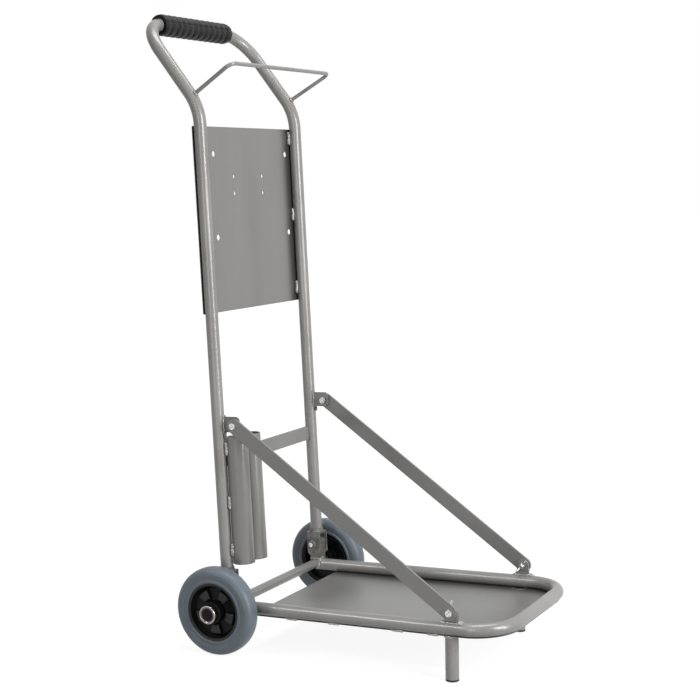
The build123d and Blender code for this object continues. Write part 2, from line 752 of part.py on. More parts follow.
with BuildPart() as wheel_rim_right:
    with BuildSketch(front(0)):
        with BuildLine():
            Polyline(
                (WHEEL_X - RIM_HALF, SEAT_R),
                (WHEEL_X + RIM_HALF, SEAT_R),
                (WHEEL_X + RIM_HALF, SEAT_R - LIP_WIDE),
                (WHEEL_X + RIM_HALF - LIP_DEEP, SEAT_R - LIP_WIDE),
                (WHEEL_X + RIM_HALF - LIP_DEEP, RIM_INNER_R),
                (WHEEL_X + WEB_HALF, DISH_R),
                (WHEEL_X + WEB_HALF, HUB_R),
                (WHEEL_X + HUB_OUT - HUB_EDGE, HUB_R),
                (WHEEL_X + HUB_OUT, HUB_R - HUB_EDGE),
                (WHEEL_X + HUB_OUT, AXLE_R + RUNNING_FIT),
                (WHEEL_X - HUB_IN, AXLE_R + RUNNING_FIT),
                (WHEEL_X - HUB_IN, HUB_R - HUB_EDGE),
                (WHEEL_X - HUB_IN + HUB_EDGE, HUB_R),
                (WHEEL_X - WEB_HALF, HUB_R),
                (WHEEL_X - WEB_HALF, DISH_R),
                (WHEEL_X - RIM_HALF + LIP_DEEP, RIM_INNER_R),
                (WHEEL_X - RIM_HALF + LIP_DEEP, SEAT_R - LIP_WIDE),
                (WHEEL_X - RIM_HALF, SEAT_R - LIP_WIDE),
                close=True,
            )
        make_face()
    revolve(axis=axle_line)
    with BuildSketch(side(WHEEL_X + WEB_HALF)):
        with PolarLocations(0, PAD_COUNT, start_angle=PAD_START):
            with BuildLine():
                Polyline((0, 0), (pad_far, -pad_far * pad_slope), (pad_far, pad_far * pad_slope), close=True)
            make_face()
        Circle(DISH_R, mode=Mode.INTERSECT)
        Circle(PAD_INNER_R, mode=Mode.SUBTRACT)
    extrude(amount=PAD_HEIGHT)
    pad_tops = wheel_rim_right.faces().filter_by_position(Axis.X, pad_top - SLIVER, pad_top + SLIVER)
    chamfer(pad_tops.edges(), PAD_EDGE)
wheel_rim_right.part.label = "wheel_rim_right"
export_step(wheel_rim_right.part, "parts/wheel_rim_right.step")

with BuildPart() as wheel_rim_left:
    mirror(wheel_rim_right.part, about=Plane.YZ)
wheel_rim_left.part.label = "wheel_rim_left"
export_step(wheel_rim_left.part, "parts/wheel_rim_left.step")

# The tyre's wall swells out from the ring to its full width.
ring_in = RING_R - RING_WIDE / 2
ring_out = RING_R + RING_WIDE / 2
ring_half = RIM_HALF + (TYRE_HALF - RIM_HALF) * RING_SHARE
wall_in = ring_out + RING_WIDE
with BuildPart() as tyre_right:
    with BuildSketch(front(0)):
        with BuildLine():
            Polyline(
                (WHEEL_X - RIM_HALF, SEAT_R),
                (WHEEL_X + RIM_HALF, SEAT_R),
                (WHEEL_X + ring_half, ring_in),
            )
            ThreePointArc(
                (WHEEL_X + ring_half, ring_in),
                (WHEEL_X + ring_half + RING_HIGH, RING_R),
                (WHEEL_X + ring_half, ring_out),
            )
            Polyline(
                (WHEEL_X + ring_half, ring_out),
                (WHEEL_X + TYRE_HALF, wall_in),
                (WHEEL_X + TYRE_HALF, WHEEL_R - TYRE_SHOULDER),
            )
            RadiusArc(
                (WHEEL_X + TYRE_HALF, WHEEL_R - TYRE_SHOULDER),
                (WHEEL_X + TYRE_HALF - TYRE_SHOULDER, WHEEL_R),
                -TYRE_SHOULDER,
            )
            Line(
                (WHEEL_X + TYRE_HALF - TYRE_SHOULDER, WHEEL_R),
                (WHEEL_X - TYRE_HALF + TYRE_SHOULDER, WHEEL_R),
            )
            RadiusArc(
                (WHEEL_X - TYRE_HALF + TYRE_SHOULDER, WHEEL_R),
                (WHEEL_X - TYRE_HALF, WHEEL_R - TYRE_SHOULDER),
                -TYRE_SHOULDER,
            )
            Polyline(
                (WHEEL_X - TYRE_HALF, WHEEL_R - TYRE_SHOULDER),
                (WHEEL_X - TYRE_HALF, wall_in),
                (WHEEL_X - ring_half, ring_out),
            )
            ThreePointArc(
                (WHEEL_X - ring_half, ring_out),
                (WHEEL_X - ring_half - RING_HIGH, RING_R),
                (WHEEL_X - ring_half, ring_in),
            )
            Line((WHEEL_X - ring_half, ring_in), (WHEEL_X - RIM_HALF, SEAT_R))
        make_face()
    revolve(axis=axle_line)
tyre_right.part.label = "tyre_right"
export_step(tyre_right.part, "parts/tyre_right.step")

with BuildPart() as tyre_left:
    mirror(tyre_right.part, about=Plane.YZ)
tyre_left.part.label = "tyre_left"
export_step(tyre_left.part, "parts/tyre_left.step")

# ---- spacers and hub caps ----------------------------------------------------------------

spacer_inner = UPRIGHT_X + POST_WIDTH / 2
hub_inner = WHEEL_X - HUB_IN
with BuildPart() as axle_spacers:
    with BuildSketch(side(spacer_inner)):
        Circle(SPACER_R)
        Circle(AXLE_R, mode=Mode.SUBTRACT)
    extrude(amount=hub_inner - END_PLAY - spacer_inner)
    mirror(about=Plane.YZ)
axle_spacers.part.label = "axle_spacers"
export_step(axle_spacers.part, "parts/axle_spacers.step")

cap_inner = WHEEL_X + HUB_OUT + END_PLAY
with BuildPart() as hub_cap_right:
    with BuildSketch(side(cap_inner)):
        Circle(CAP_R)
    extrude(amount=CAP_OUT)
    fillet(hub_cap_right.faces().sort_by(Axis.X)[-1].edges(), CAP_EDGE)
    with BuildSketch(side(cap_inner + CAP_OUT)):
        Circle(CAP_FACE_R)
    extrude(amount=-CAP_FACE_DEEP, mode=Mode.SUBTRACT)
    add(axle.part, mode=Mode.SUBTRACT)
hub_cap_right.part.label = "hub_cap_right"
export_step(hub_cap_right.part, "parts/hub_cap_right.step")

with BuildPart() as hub_cap_left:
    mirror(hub_cap_right.part, about=Plane.YZ)
hub_cap_left.part.label = "hub_cap_left"
export_step(hub_cap_left.part, "parts/hub_cap_left.step")
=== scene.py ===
import json
import math

import bmesh
import bpy
from mathutils import Matrix, Vector


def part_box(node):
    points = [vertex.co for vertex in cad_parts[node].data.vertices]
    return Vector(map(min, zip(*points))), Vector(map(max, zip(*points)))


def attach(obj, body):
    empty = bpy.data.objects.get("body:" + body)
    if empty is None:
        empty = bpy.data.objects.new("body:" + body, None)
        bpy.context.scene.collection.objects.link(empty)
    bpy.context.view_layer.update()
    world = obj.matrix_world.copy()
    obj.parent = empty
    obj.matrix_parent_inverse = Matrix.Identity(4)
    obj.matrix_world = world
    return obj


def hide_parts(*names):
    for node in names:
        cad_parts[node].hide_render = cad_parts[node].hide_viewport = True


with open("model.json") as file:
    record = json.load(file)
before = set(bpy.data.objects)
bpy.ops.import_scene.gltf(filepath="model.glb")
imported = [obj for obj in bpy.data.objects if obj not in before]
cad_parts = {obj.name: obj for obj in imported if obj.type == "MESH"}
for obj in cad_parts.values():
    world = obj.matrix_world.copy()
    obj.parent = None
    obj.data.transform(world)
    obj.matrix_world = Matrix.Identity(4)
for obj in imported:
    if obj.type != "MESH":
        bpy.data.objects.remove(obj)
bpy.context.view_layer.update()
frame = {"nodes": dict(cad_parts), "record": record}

# ---- Handle tube ------------------------------------------------------------------------
# One bent 25.4 mm steel tube makes both uprights and the grip bar. Like every welded steel
# piece it carries one satin coat of silver-grey paint with fine metal flake in it.

TUBE_R = 0.0127
UPRIGHT_X = 0.1806
UPRIGHT_FOOT = 0.071
SHOULDER_UP = 0.9957
SHOULDER_BEND = 0.110
GRIP_BACK = 0.12765
GRIP_UP = 1.1718
GRIP_BEND = 0.072


def box_middle(node_name):
    low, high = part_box(node_name)
    return (low + high) / 2


# The truck leans back a little about its axle, and the holder pipes stand along its uprights.
axle_mid = box_middle("axle")
pipe_mount = next(m for m in frame["record"]["mounts"] if m["name"] == "holder_inner_bore")
up_way = Vector(pipe_mount["axis"])
back_way = Vector((0, up_way.z, -up_way.y))


def truck(x, back, up):
    """A point measured from the axle's middle, in directions that lean with the truck."""
    return axle_mid + Vector((x, 0, 0)) + back_way * back + up_way * up


def start_material(name):
    made = bpy.data.materials.new(name)
    made.use_nodes = True
    return made, made.node_tree, made.node_tree.nodes["Principled BSDF"]


def plug(tree, node, wired):
    """Another node's socket is linked to the socket named, and any other value is set on it."""
    for name, value in wired.items():
        if isinstance(value, bpy.types.NodeSocket):
            tree.links.new(value, node.inputs[name])
        else:
            node.inputs[name].default_value = value


def put(tree, kind, wired=None, **settings):
    fresh = tree.nodes.new(kind)
    for name, value in settings.items():
        setattr(fresh, name, value)
    plug(tree, fresh, wired or {})
    return fresh


def calc(tree, operation, *values):
    return put(tree, "ShaderNodeMath", dict(enumerate(values)), operation=operation).outputs[0]


def object_place(tree):
    return put(tree, "ShaderNodeTexCoord").outputs["Object"]


def noise(tree, place, scale, detail, distortion=0.0):
    return put(tree, "ShaderNodeTexNoise", {"Vector": place, "Scale": scale, "Detail": detail,
               "Distortion": distortion}).outputs["Fac"]


def remap(tree, value, low, high, begin=0.0, end=1.0, curve="LINEAR"):
    """As the value goes from begin to end, the result goes from low to high."""
    return put(tree, "ShaderNodeMapRange", {"Value": value, "From Min": begin, "From Max": end,
               "To Min": low, "To Max": high}, interpolation_type=curve).outputs["Result"]


def blend_colours(tree, share, first, second, begin=0.0, end=1.0):
    """As the share goes from begin to end, the first colour turns into the second."""
    ramp = put(tree, "ShaderNodeValToRGB", {"Fac": share})
    for stop, colour, position in zip(ramp.color_ramp.elements, (first, second), (begin, end)):
        stop.color = (*colour, 1)
        stop.position = position
    return ramp.outputs["Color"]


def silver_paint(name, deep, pale, drift_scale, gloss, shine):
    """Flakes in a clear coat, over a base that drifts a little where the spray lay thicker."""
    paint, net, coat = start_material(name)
    place = object_place(net)
    flake = noise(net, place, scale=1100, detail=2)
    stretched = put(net, "ShaderNodeMapping", {"Vector": place, "Scale": drift_scale})
    drift = noise(net, stretched.outputs[0], scale=9, detail=5)
    share = calc(net, "MULTIPLY_ADD", drift, 0.75, calc(net, "MULTIPLY", flake, 0.25))
    soft_edge = put(net, "ShaderNodeBevel", {"Radius": 0.0006}, samples=4)
    plug(net, coat, {
        "Base Color": blend_colours(net, share, deep, pale, begin=0.32, end=0.66),
        "Roughness": remap(net, drift, *gloss), "Normal": soft_edge.outputs["Normal"],
        "Metallic": 0.18, "Specular IOR Level": shine})
    return paint


silver_coat = silver_paint("silver_coat", deep=(0.275, 0.27, 0.261), pale=(0.345, 0.34, 0.33),
                           drift_scale=(1, 1, 1), gloss=(0.24, 0.32), shine=0.28)


def start_tree(name, sizes):
    tree = bpy.data.node_groups.new(name, "GeometryNodeTree")
    for way in ("OUTPUT", "INPUT"):
        tree.interface.new_socket(name="Geometry", in_out=way, socket_type="NodeSocketGeometry")
    for label, kind in sizes.items():
        tree.interface.new_socket(name=label, in_out="INPUT", socket_type="NodeSocket" + kind)
    return tree, tree.nodes.new("NodeGroupInput").outputs


def end_tree(tree, grown, finish):
    real = put(tree, "GeometryNodeRealizeInstances", {"Geometry": grown})
    smooth = put(tree, "GeometryNodeSetShadeSmooth", {"Geometry": real.outputs[0]})
    dressed = put(tree, "GeometryNodeSetMaterial",
                  {"Geometry": smooth.outputs[0], "Material": finish})
    put(tree, "NodeGroupOutput", {"Geometry": dressed.outputs[0]})


def grow(name, mesh, tree, sizes):
    piece = bpy.data.objects.new(name, mesh)
    bpy.context.scene.collection.objects.link(piece)
    growth = piece.modifiers.new("growth", "NODES")
    growth.node_group = tree
    for socket in tree.interface.items_tree:
        if socket.in_out == "INPUT" and socket.name in sizes:
            growth[socket.identifier] = sizes[socket.name]
    ready = bpy.context.evaluated_depsgraph_get()
    plain = bpy.data.meshes.new_from_object(piece.evaluated_get(ready), depsgraph=ready)
    piece.modifiers.clear()
    piece.data = plain
    return piece


def bent_run(corners, bends, name):
    """The centre line of a tube: straight runs joined by arcs of the bend's radius."""
    points = [corners[0]]
    for before, corner, after, bend in zip(corners, corners[1:], corners[2:], bends):
        to_before, to_after = (before - corner).normalized(), (after - corner).normalized()
        turned = math.pi - to_before.angle(to_after)
        hub = corner + (to_before + to_after).normalized() * (bend / math.cos(turned / 2))
        start = corner + to_before * (bend * math.tan(turned / 2)) - hub
        end = corner + to_after * (bend * math.tan(turned / 2)) - hub
        steps = max(4, round(math.degrees(turned) / 2))
        for step in range(steps + 1):
            share = step / steps
            points.append(hub + start * (math.sin((1 - share) * turned) / math.sin(turned))
                          + end * (math.sin(share * turned) / math.sin(turned)))
    points.append(corners[-1])
    mesh = bpy.data.meshes.new(name)
    mesh.from_pydata(points, [(step, step + 1) for step in range(len(points) - 1)], [])
    return mesh


tube_tree, given = start_tree("bent_tube", {"Radius": "Float", "Finish": "Material"})
run = put(tube_tree, "GeometryNodeMeshToCurve", {"Mesh": given["Geometry"]})
section = put(tube_tree, "GeometryNodeCurvePrimitiveCircle",
              {"Resolution": 64, "Radius": given["Radius"]})
skin = put(tube_tree, "GeometryNodeCurveToMesh", {"Curve": run.outputs[0],
           "Profile Curve": section.outputs["Curve"], "Fill Caps": True})
end_tree(tube_tree, skin.outputs[0], given["Finish"])

handle_run = bent_run([truck(-UPRIGHT_X, 0, UPRIGHT_FOOT), truck(-UPRIGHT_X, 0, SHOULDER_UP),
                       truck(-UPRIGHT_X, GRIP_BACK, GRIP_UP), truck(UPRIGHT_X, GRIP_BACK, GRIP_UP),
                       truck(UPRIGHT_X, 0, SHOULDER_UP), truck(UPRIGHT_X, 0, UPRIGHT_FOOT)],
                      (SHOULDER_BEND, GRIP_BEND, GRIP_BEND, SHOULDER_BEND), "bent_handle_tube")
handle = grow("bent_handle_tube", handle_run, tube_tree, {"Radius": TUBE_R, "Finish": silver_coat})
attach(handle, "handle")
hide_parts("handle_tube")

# ---- Back plate, cross strap, holder pipes and right upper lug ---------------------------
# Sheet, flat bar and pipe are cut, drilled and welded to the handle tube, and the whole
# handle is then painted at once. Here that paint is given darker tones than the tubes':
# painted shade on the flats, pipes and plate. The plate's margins beside the uprights are
# darker still: painted shade and painted reflection of the tubes.

SHADED_SHEET_TONES = ((0.215, 0.213, 0.208), (0.262, 0.259, 0.252))
SHEET_GLOSS = (0.2, 0.32)
SHEET_SHINE = 0.5
ROLLED_WAY = (1, 0.25, 0.25)
PLATE_MARGIN = (0.137, 0.166)
CREVICE_SHADE_LEFT = 0.3


def coat_nodes(material, *node_names):
    for node_name in node_names:
        mesh = frame["nodes"][node_name].data
        mesh.materials.clear()
        mesh.materials.append(material)


def calc_vector(tree, operation, *values):
    made = put(tree, "ShaderNodeVectorMath", dict(enumerate(values)), operation=operation)
    return made.outputs["Value" if operation in ("DOT_PRODUCT", "LENGTH") else "Vector"]


def split(tree, vector):
    return put(tree, "ShaderNodeSeparateXYZ", {0: vector}).outputs


def painted_crevice_shade(paint, full_to, edge_at, left, tube_side):
    """Painted shade: a sheet is darkened towards its margins, in the crevices by the tubes."""
    net = paint.node_tree
    coat_colour = net.nodes["Principled BSDF"].inputs["Base Color"]
    outward = calc(net, "ABSOLUTE", split(net, object_place(net))["X"])
    margin = remap(net, outward, 0.0, 1.0, full_to, edge_at, "SMOOTHSTEP")
    facing = put(net, "ShaderNodeTexCoord").outputs["Normal"]
    beside = calc(net, "GREATER_THAN", calc_vector(net, "DOT_PRODUCT", facing, tube_side), -0.5)
    shade_tint = blend_colours(net, calc(net, "MULTIPLY", margin, beside), (1, 1, 1), (left,) * 3)
    shaded_colour = put(net, "ShaderNodeMix", {0: 1.0, 6: coat_colour.links[0].from_socket, 7: shade_tint},
               data_type="RGBA", blend_type="MULTIPLY")
    net.links.new(shaded_colour.outputs[2], coat_colour)


shaded_sheet_coat = silver_paint("shaded_sheet_coat", *SHADED_SHEET_TONES, ROLLED_WAY, SHEET_GLOSS, SHEET_SHINE)
coat_nodes(shaded_sheet_coat, "holder_pipe_outer", "holder_pipe_inner", "cross_strap", "upper_lug_right")
plate_coat = silver_paint("plate_coat", *SHADED_SHEET_TONES, ROLLED_WAY, SHEET_GLOSS, SHEET_SHINE)
# the plate's margins: painted shade and painted reflection of the uprights beside them
painted_crevice_shade(plate_coat, *PLATE_MARGIN, CREVICE_SHADE_LEFT, tube_side=(0, -1, 0))
coat_nodes(plate_coat, "back_plate")

# ---- Wire loop ---------------------------------------------------------------------------
# A loop of 8 mm rod, bent cold and welded to the fronts of the slanting arms. A bag or a
# strap hooks over it.

LOOP_ROD_R = 0.004
LOOP_ROOT_BACK, LOOP_ROOT_UP = 0.01585, 1.01756
LOOP_TIP_X, LOOP_TIP_BACK, LOOP_TIP_UP = 0.191, -0.08715, 1.07206
LOOP_BEND = 0.015


def loop_leg(sign):
    """Where a leg of the loop starts inside the arm, and the corner that it runs to."""
    return (truck(sign * UPRIGHT_X, LOOP_ROOT_BACK, LOOP_ROOT_UP),
            truck(sign * LOOP_TIP_X, LOOP_TIP_BACK, LOOP_TIP_UP))


loop_run = bent_run([*loop_leg(-1), *reversed(loop_leg(1))], (LOOP_BEND, LOOP_BEND),
                    "bent_wire_loop")
loop = grow("bent_wire_loop", loop_run, tube_tree, {"Radius": LOOP_ROD_R, "Finish": silver_coat})
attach(loop, "handle")
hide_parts("loop_hook")

# ---- Clevises and left upper lug ---------------------------------------------------------
# Pressed steel forks under the uprights, and the flat lug that holds the left brace. Heat
# from the heavy welds beside the forks darkened and roughened their coat. The left lug takes
# the same dark coat as painted shade, where the upright shades it.

hinge_coat = silver_paint("hinge_coat", deep=(0.085, 0.083, 0.08), pale=(0.26, 0.255, 0.245),
                          drift_scale=(9, 9, 9), gloss=(0.26, 0.42), shine=0.4)
# upper_lug_left: the dark coat here is painted shade
coat_nodes(hinge_coat, "clevis_left", "clevis_right", "upper_lug_left")

# ---- Handle weld beads -------------------------------------------------------------------
# Short hand-laid beads join the steel pieces: ripples of metal that overlap each other, as
# wide as the crevice they fill. They are painted with the rest, and catch the light.

BEAD_STEP = 0.0013
STITCH_UPS = (0.607, 0.765, 0.929)
# a stitch is a bead with a short one over its start: how far in from the upright's middle and
# how far back it lies, where it starts and ends, and half its width
STITCH_BEADS = ((0.0118, 0.0096, 0.000, 0.022, 0.0040), (0.0134, 0.0092, 0.001, 0.007, 0.0042))
# rings on the clevis: how far up, and half the width
CLEVIS_RINGS = ((0.0004, 0.0030), (0.0040, 0.0024), (0.0072, 0.0016))
UPPER_LUG_LOW, UPPER_LUG_HIGH = 0.3525, 0.3845
UPPER_LUG_ROOTS = (-0.0055, 0.0007)
STRAP_X, STRAP_LOW, STRAP_HIGH = 0.1682, 0.2795, 0.3105
STRAP_ROOTS = (-0.0029, 0.0029)
# beads of the pole holders: where across, how far back, and half the width
INNER_PIPE_UPS, INNER_PIPE_LONG = (0.104, 0.200, 0.309), 0.020
INNER_PIPE_BEADS = ((-0.1818, -0.0166, 0.0045), (-0.1680, -0.0074, 0.0026))
OUTER_PIPE_UPS, OUTER_PIPE_LONG = (0.115, 0.306), 0.016
OUTER_PIPE_BEADS = ((-0.1403, -0.0385, 0.0024), (-0.1399, -0.0229, 0.0024))


def straight(start, end, width):
    return [(start, width), (end, width * 0.9)]


def upward(x, back, low, high, width):
    return straight(truck(x, back, low), truck(x, back, high), width)


def round_tube(centre, across, along, radius, width):
    turns = [math.radians(9 * step) for step in range(41)]
    return [(centre + across * (radius * math.cos(a)) + along * (radius * math.sin(a)), width)
            for a in turns]


def bead_paths(name, lines):
    """Each line is a list of points, with half the bead's width there."""
    shape = bmesh.new()
    width_layer = shape.verts.layers.float.new("bead")
    for line in lines:
        last = None
        for point, width in line:
            spot = shape.verts.new(point)
            spot[width_layer] = width
            if last:
                shape.edges.new((last, spot))
            last = spot
    mesh = bpy.data.meshes.new(name)
    shape.to_mesh(mesh)
    shape.free()
    return mesh


def any_between(tree, low, high, seed):
    drawn = put(tree, "FunctionNodeRandomValue", {"Seed": seed}, data_type="FLOAT_VECTOR")
    plug(tree, drawn, {0: (low,) * 3, 1: (high,) * 3})
    return drawn.outputs[0]


def raised(tree, height, strength, distance):
    return put(tree, "ShaderNodeBump", {"Strength": strength, "Distance": distance,
               "Height": height}).outputs["Normal"]


bead_tree, given = start_tree("weld_bead", {"Step": "Float", "Seed": "Int", "Finish": "Material"})
run = put(bead_tree, "GeometryNodeMeshToCurve", {"Mesh": given["Geometry"]})
spots = put(bead_tree, "GeometryNodeResampleCurve",
            {"Curve": run.outputs[0], "Length": given["Step"]}, mode="LENGTH")
ripple = put(bead_tree, "GeometryNodeMeshIcoSphere", {"Radius": 1.0, "Subdivisions": 2})
half_width = put(bead_tree, "GeometryNodeInputNamedAttribute", {"Name": "bead"}, data_type="FLOAT")
uneven = any_between(bead_tree, 0.78, 1.12, given["Seed"])
swell = put(bead_tree, "ShaderNodeVectorMath", {0: uneven, "Scale": half_width.outputs[0]},
            operation="SCALE")
laid = put(bead_tree, "GeometryNodeInstanceOnPoints", {
    "Points": spots.outputs[0], "Instance": ripple.outputs[0],
    "Rotation": any_between(bead_tree, 0.0, 6.3, given["Seed"]), "Scale": swell.outputs[0]})
end_tree(bead_tree, laid.outputs[0], given["Finish"])

weld_coat, net, coat = start_material("painted_weld")
ripples = noise(net, object_place(net), scale=900, detail=4)
plug(net, coat, {
    "Base Color": blend_colours(net, ripples, (0.17, 0.165, 0.157), (0.52, 0.505, 0.48),
                                begin=0.3, end=0.72),
    "Normal": raised(net, ripples, strength=0.4, distance=0.0006),
    "Metallic": 0.5, "Roughness": 0.28})

lines = []
dark_beads = []
for sign in (-1, 1):
    side_x = sign * UPRIGHT_X
    # stitches along the plate's crevice
    for up in STITCH_UPS:
        for inward, back, start, end, wide in STITCH_BEADS:
            lines.append(upward(side_x - sign * inward, back, up + start, up + end, wide))
    # rings where the upright stands on its clevis
    for rise, wide in CLEVIS_RINGS:
        dark_beads.append(round_tube(truck(side_x, 0, UPRIGHT_FOOT + rise), Vector((1, 0, 0)),
                                   back_way, TUBE_R + 0.0002, wide))
    # both roots of the upper lug
    for off in UPPER_LUG_ROOTS:
        lines.append(upward(side_x + sign * off, -TUBE_R - 0.0002, UPPER_LUG_LOW, UPPER_LUG_HIGH,
                            0.0024))
    # dark beads under the upper lug and beside it: painted shade under the lug
    dark_beads.append(upward(side_x + sign * 0.0005, -TUBE_R - 0.0022, UPPER_LUG_LOW - 0.008,
                           UPPER_LUG_LOW + 0.0005, 0.0034))
    dark_beads.append(upward(side_x - sign * 0.0045, -TUBE_R - 0.0010, UPPER_LUG_LOW - 0.0005,
                           UPPER_LUG_HIGH + 0.0005, 0.0024))
    # ends of the cross strap, front and rear
    for back in STRAP_ROOTS:
        dark_beads.append(upward(sign * STRAP_X, back, STRAP_LOW, STRAP_HIGH, 0.0018))
    # ring where the wire loop meets the arm
    root, tip = loop_leg(sign)
    leg = (tip - root).normalized()
    across = leg.cross(Vector((1, 0, 0))).normalized()
    lines.append(round_tube(root + leg * (TUBE_R + 0.0001), across, leg.cross(across),
                            LOOP_ROD_R + 0.0002, 0.0024))
# the inner pole holder on the upright, and the outer one on the inner, each on both sides
for ups, long, beads in ((INNER_PIPE_UPS, INNER_PIPE_LONG, INNER_PIPE_BEADS),
                         (OUTER_PIPE_UPS, OUTER_PIPE_LONG, OUTER_PIPE_BEADS)):
    for up in ups:
        for side_x, back, wide in beads:
            lines.append(upward(side_x, back, up, up + long, wide))
handle_beads = grow("handle_weld_beads", bead_paths("handle_weld_beads", lines), bead_tree,
                    {"Step": BEAD_STEP, "Seed": 3, "Finish": weld_coat})
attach(handle_beads, "handle")
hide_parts("plate_welds", "holder_welds")
foot_beads = grow("upright_foot_beads", bead_paths("upright_foot_beads", dark_beads), bead_tree,
                  {"Step": BEAD_STEP, "Seed": 5, "Finish": hinge_coat})
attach(foot_beads, "handle")

# ---- Rubber grip -------------------------------------------------------------------------
# A moulded black rubber sleeve with round scalloped ribs is pushed onto the grip bar. Two
# mould lines run along it, and its ends are cut flat.

GRIP_PITCH = 0.0198
GRIP_CORE = 0.0188
GRIP_RIB = 0.0219
CREST_FROM = 0.0195
GRIP_BORE = 0.0126
GRIP_STEPS_LONG, GRIP_STEPS_ROUND = 600, 128
SEAM_TURN = 2.85
SEAM_DEPTH = 0.0016
SEAM_NARROWNESS = 14.0
END_FALL = 3.0

grip_low, grip_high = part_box("handle_grip")
grip_mid = (grip_low + grip_high) / 2
grip_tree, given = start_tree("scalloped_sleeve", {
    "Length": "Float", "Pitch": "Float", "Core": "Float", "Rib": "Float", "Bore": "Float",
    "Seam": "Float", "Seam Depth": "Float", "Middle": "Vector", "Finish": "Material"})

# A flat grid is rolled up: its long side runs along the bar and its short side goes round.
# What is longer than the sleeve closes the two ends, down to the bore.
sheet = put(grip_tree, "GeometryNodeMeshGrid", {
    "Size X": calc(grip_tree, "MULTIPLY", given["Length"], 1.04), "Size Y": math.tau,
    "Vertices X": GRIP_STEPS_LONG + 1, "Vertices Y": GRIP_STEPS_ROUND + 1})
spot = split(grip_tree, put(grip_tree, "GeometryNodeInputPosition").outputs[0])
half = calc(grip_tree, "MULTIPLY", given["Length"], 0.5)
reach = calc(grip_tree, "ABSOLUTE", spot["X"])
beyond = calc(grip_tree, "MAXIMUM", calc(grip_tree, "SUBTRACT", reach, half), 0.0)
along = calc(grip_tree, "MULTIPLY", calc(grip_tree, "MINIMUM", reach, half),
             calc(grip_tree, "SIGN", spot["X"]))
wave = calc(grip_tree, "SINE", calc(grip_tree, "MULTIPLY", math.pi,
            calc(grip_tree, "DIVIDE", along, given["Pitch"])))
bulge = calc(grip_tree, "POWER", calc(grip_tree, "ABSOLUTE", wave), 0.5)
depth = calc(grip_tree, "SUBTRACT", given["Rib"], given["Core"])
ribbed = calc(grip_tree, "MULTIPLY_ADD", bulge, depth, given["Core"])
# two opposite mould lines: a narrow groove where the two halves of the mould met
off_seam = calc(grip_tree, "ABSOLUTE", calc(grip_tree, "SINE",
                calc(grip_tree, "SUBTRACT", spot["Y"], given["Seam"])))
groove = calc(grip_tree, "MAXIMUM",
              calc(grip_tree, "MULTIPLY_ADD", off_seam, -SEAM_NARROWNESS, 1.0), 0.0)
ribbed = calc(grip_tree, "SUBTRACT", ribbed,
              calc(grip_tree, "MULTIPLY", groove, given["Seam Depth"]))
closing = calc(grip_tree, "MULTIPLY_ADD", beyond, -END_FALL, ribbed)
wall = calc(grip_tree, "MAXIMUM", closing, given["Bore"])
rolled = put(grip_tree, "ShaderNodeCombineXYZ", {
    "X": along,
    "Y": calc(grip_tree, "MULTIPLY", wall, calc(grip_tree, "COSINE", spot["Y"])),
    "Z": calc(grip_tree, "MULTIPLY", wall, calc(grip_tree, "SINE", spot["Y"]))})
tube_sheet = put(grip_tree, "GeometryNodeSetPosition", {
    "Geometry": sheet.outputs["Mesh"],
    "Position": calc_vector(grip_tree, "ADD", rolled.outputs[0], given["Middle"])})
closed = put(grip_tree, "GeometryNodeMergeByDistance",
             {"Geometry": tube_sheet.outputs[0], "Distance": 0.00002})
end_tree(grip_tree, closed.outputs[0], given["Finish"])

# The valleys are darkened towards black as painted shade, and the crests stay lighter, with
# a dusty mottle.
grip_rubber, net, skin = start_material("grip_rubber")
place = object_place(net)
off_mid = split(net, calc_vector(net, "SUBTRACT", place, grip_mid))
off_bar = put(net, "ShaderNodeCombineXYZ", {"Y": off_mid["Y"], "Z": off_mid["Z"]}).outputs[0]
lit_crests = remap(net, calc_vector(net, "LENGTH", off_bar), 0.0, 1.0, begin=CREST_FROM, end=GRIP_RIB)
dust = noise(net, place, scale=60, detail=5)
pores = noise(net, place, scale=480, detail=4)
plug(net, skin, {
    "Base Color": blend_colours(net, calc(net, "MULTIPLY", lit_crests, dust), (0.0035, 0.0035, 0.0037),
                                (0.034, 0.034, 0.035), end=0.62),
    "Roughness": remap(net, dust, 0.34, 0.52),
    "Normal": raised(net, pores, strength=0.4, distance=0.0004),
    "Specular IOR Level": 0.15})

grip = grow("ribbed_grip", bpy.data.meshes.new("ribbed_grip"), grip_tree, {
    "Length": grip_high.x - grip_low.x, "Pitch": GRIP_PITCH, "Core": GRIP_CORE,
    "Rib": GRIP_RIB, "Bore": GRIP_BORE, "Seam": SEAM_TURN, "Seam Depth": SEAM_DEPTH,
    "Middle": grip_mid, "Finish": grip_rubber})
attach(grip, "handle")
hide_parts("handle_grip")

# ---- Tray frame, pan, axle, hinge posts, lower lugs and feet -----------------------------
# The tray is one tube bent in a U and welded to a solid round axle, with a steel sheet under
# it, two lugs on its rails and two short feet. It is painted as one piece, like the handle.

RAIL_X = 0.176
RAIL_DROP = -0.003
TRAY_FRONT = -0.5915
TRAY_BEND = 0.078
AXLE_SKIN = 0.0101
SADDLE_STEPS, SADDLE_TOP = 24, 0.0098
POST_SIDE_X, POST_FRONT = 0.1678, -0.0124
POST_FRONT_XS = (0.1655, 0.168, 0.171, 0.174, 0.178, 0.182, 0.186)
LUG_SIDES_X = (0.1750, 0.1816)
LUG_HALF, LUG_END = 0.0205, 0.0162
FOOT_X, FOOT_TOP = 0.1663, 0.0413
FOOT_RING_R = 0.0133
# rings on the foot: how far below its top, and half the width
FOOT_RINGS = ((0.0, 0.0028), (0.0022, 0.0018))
PAN_EDGE_X, PAN_STITCH_HALF = 0.1812, 0.010
PAN_STITCHES = (-0.147, -0.241, -0.380, -0.455)
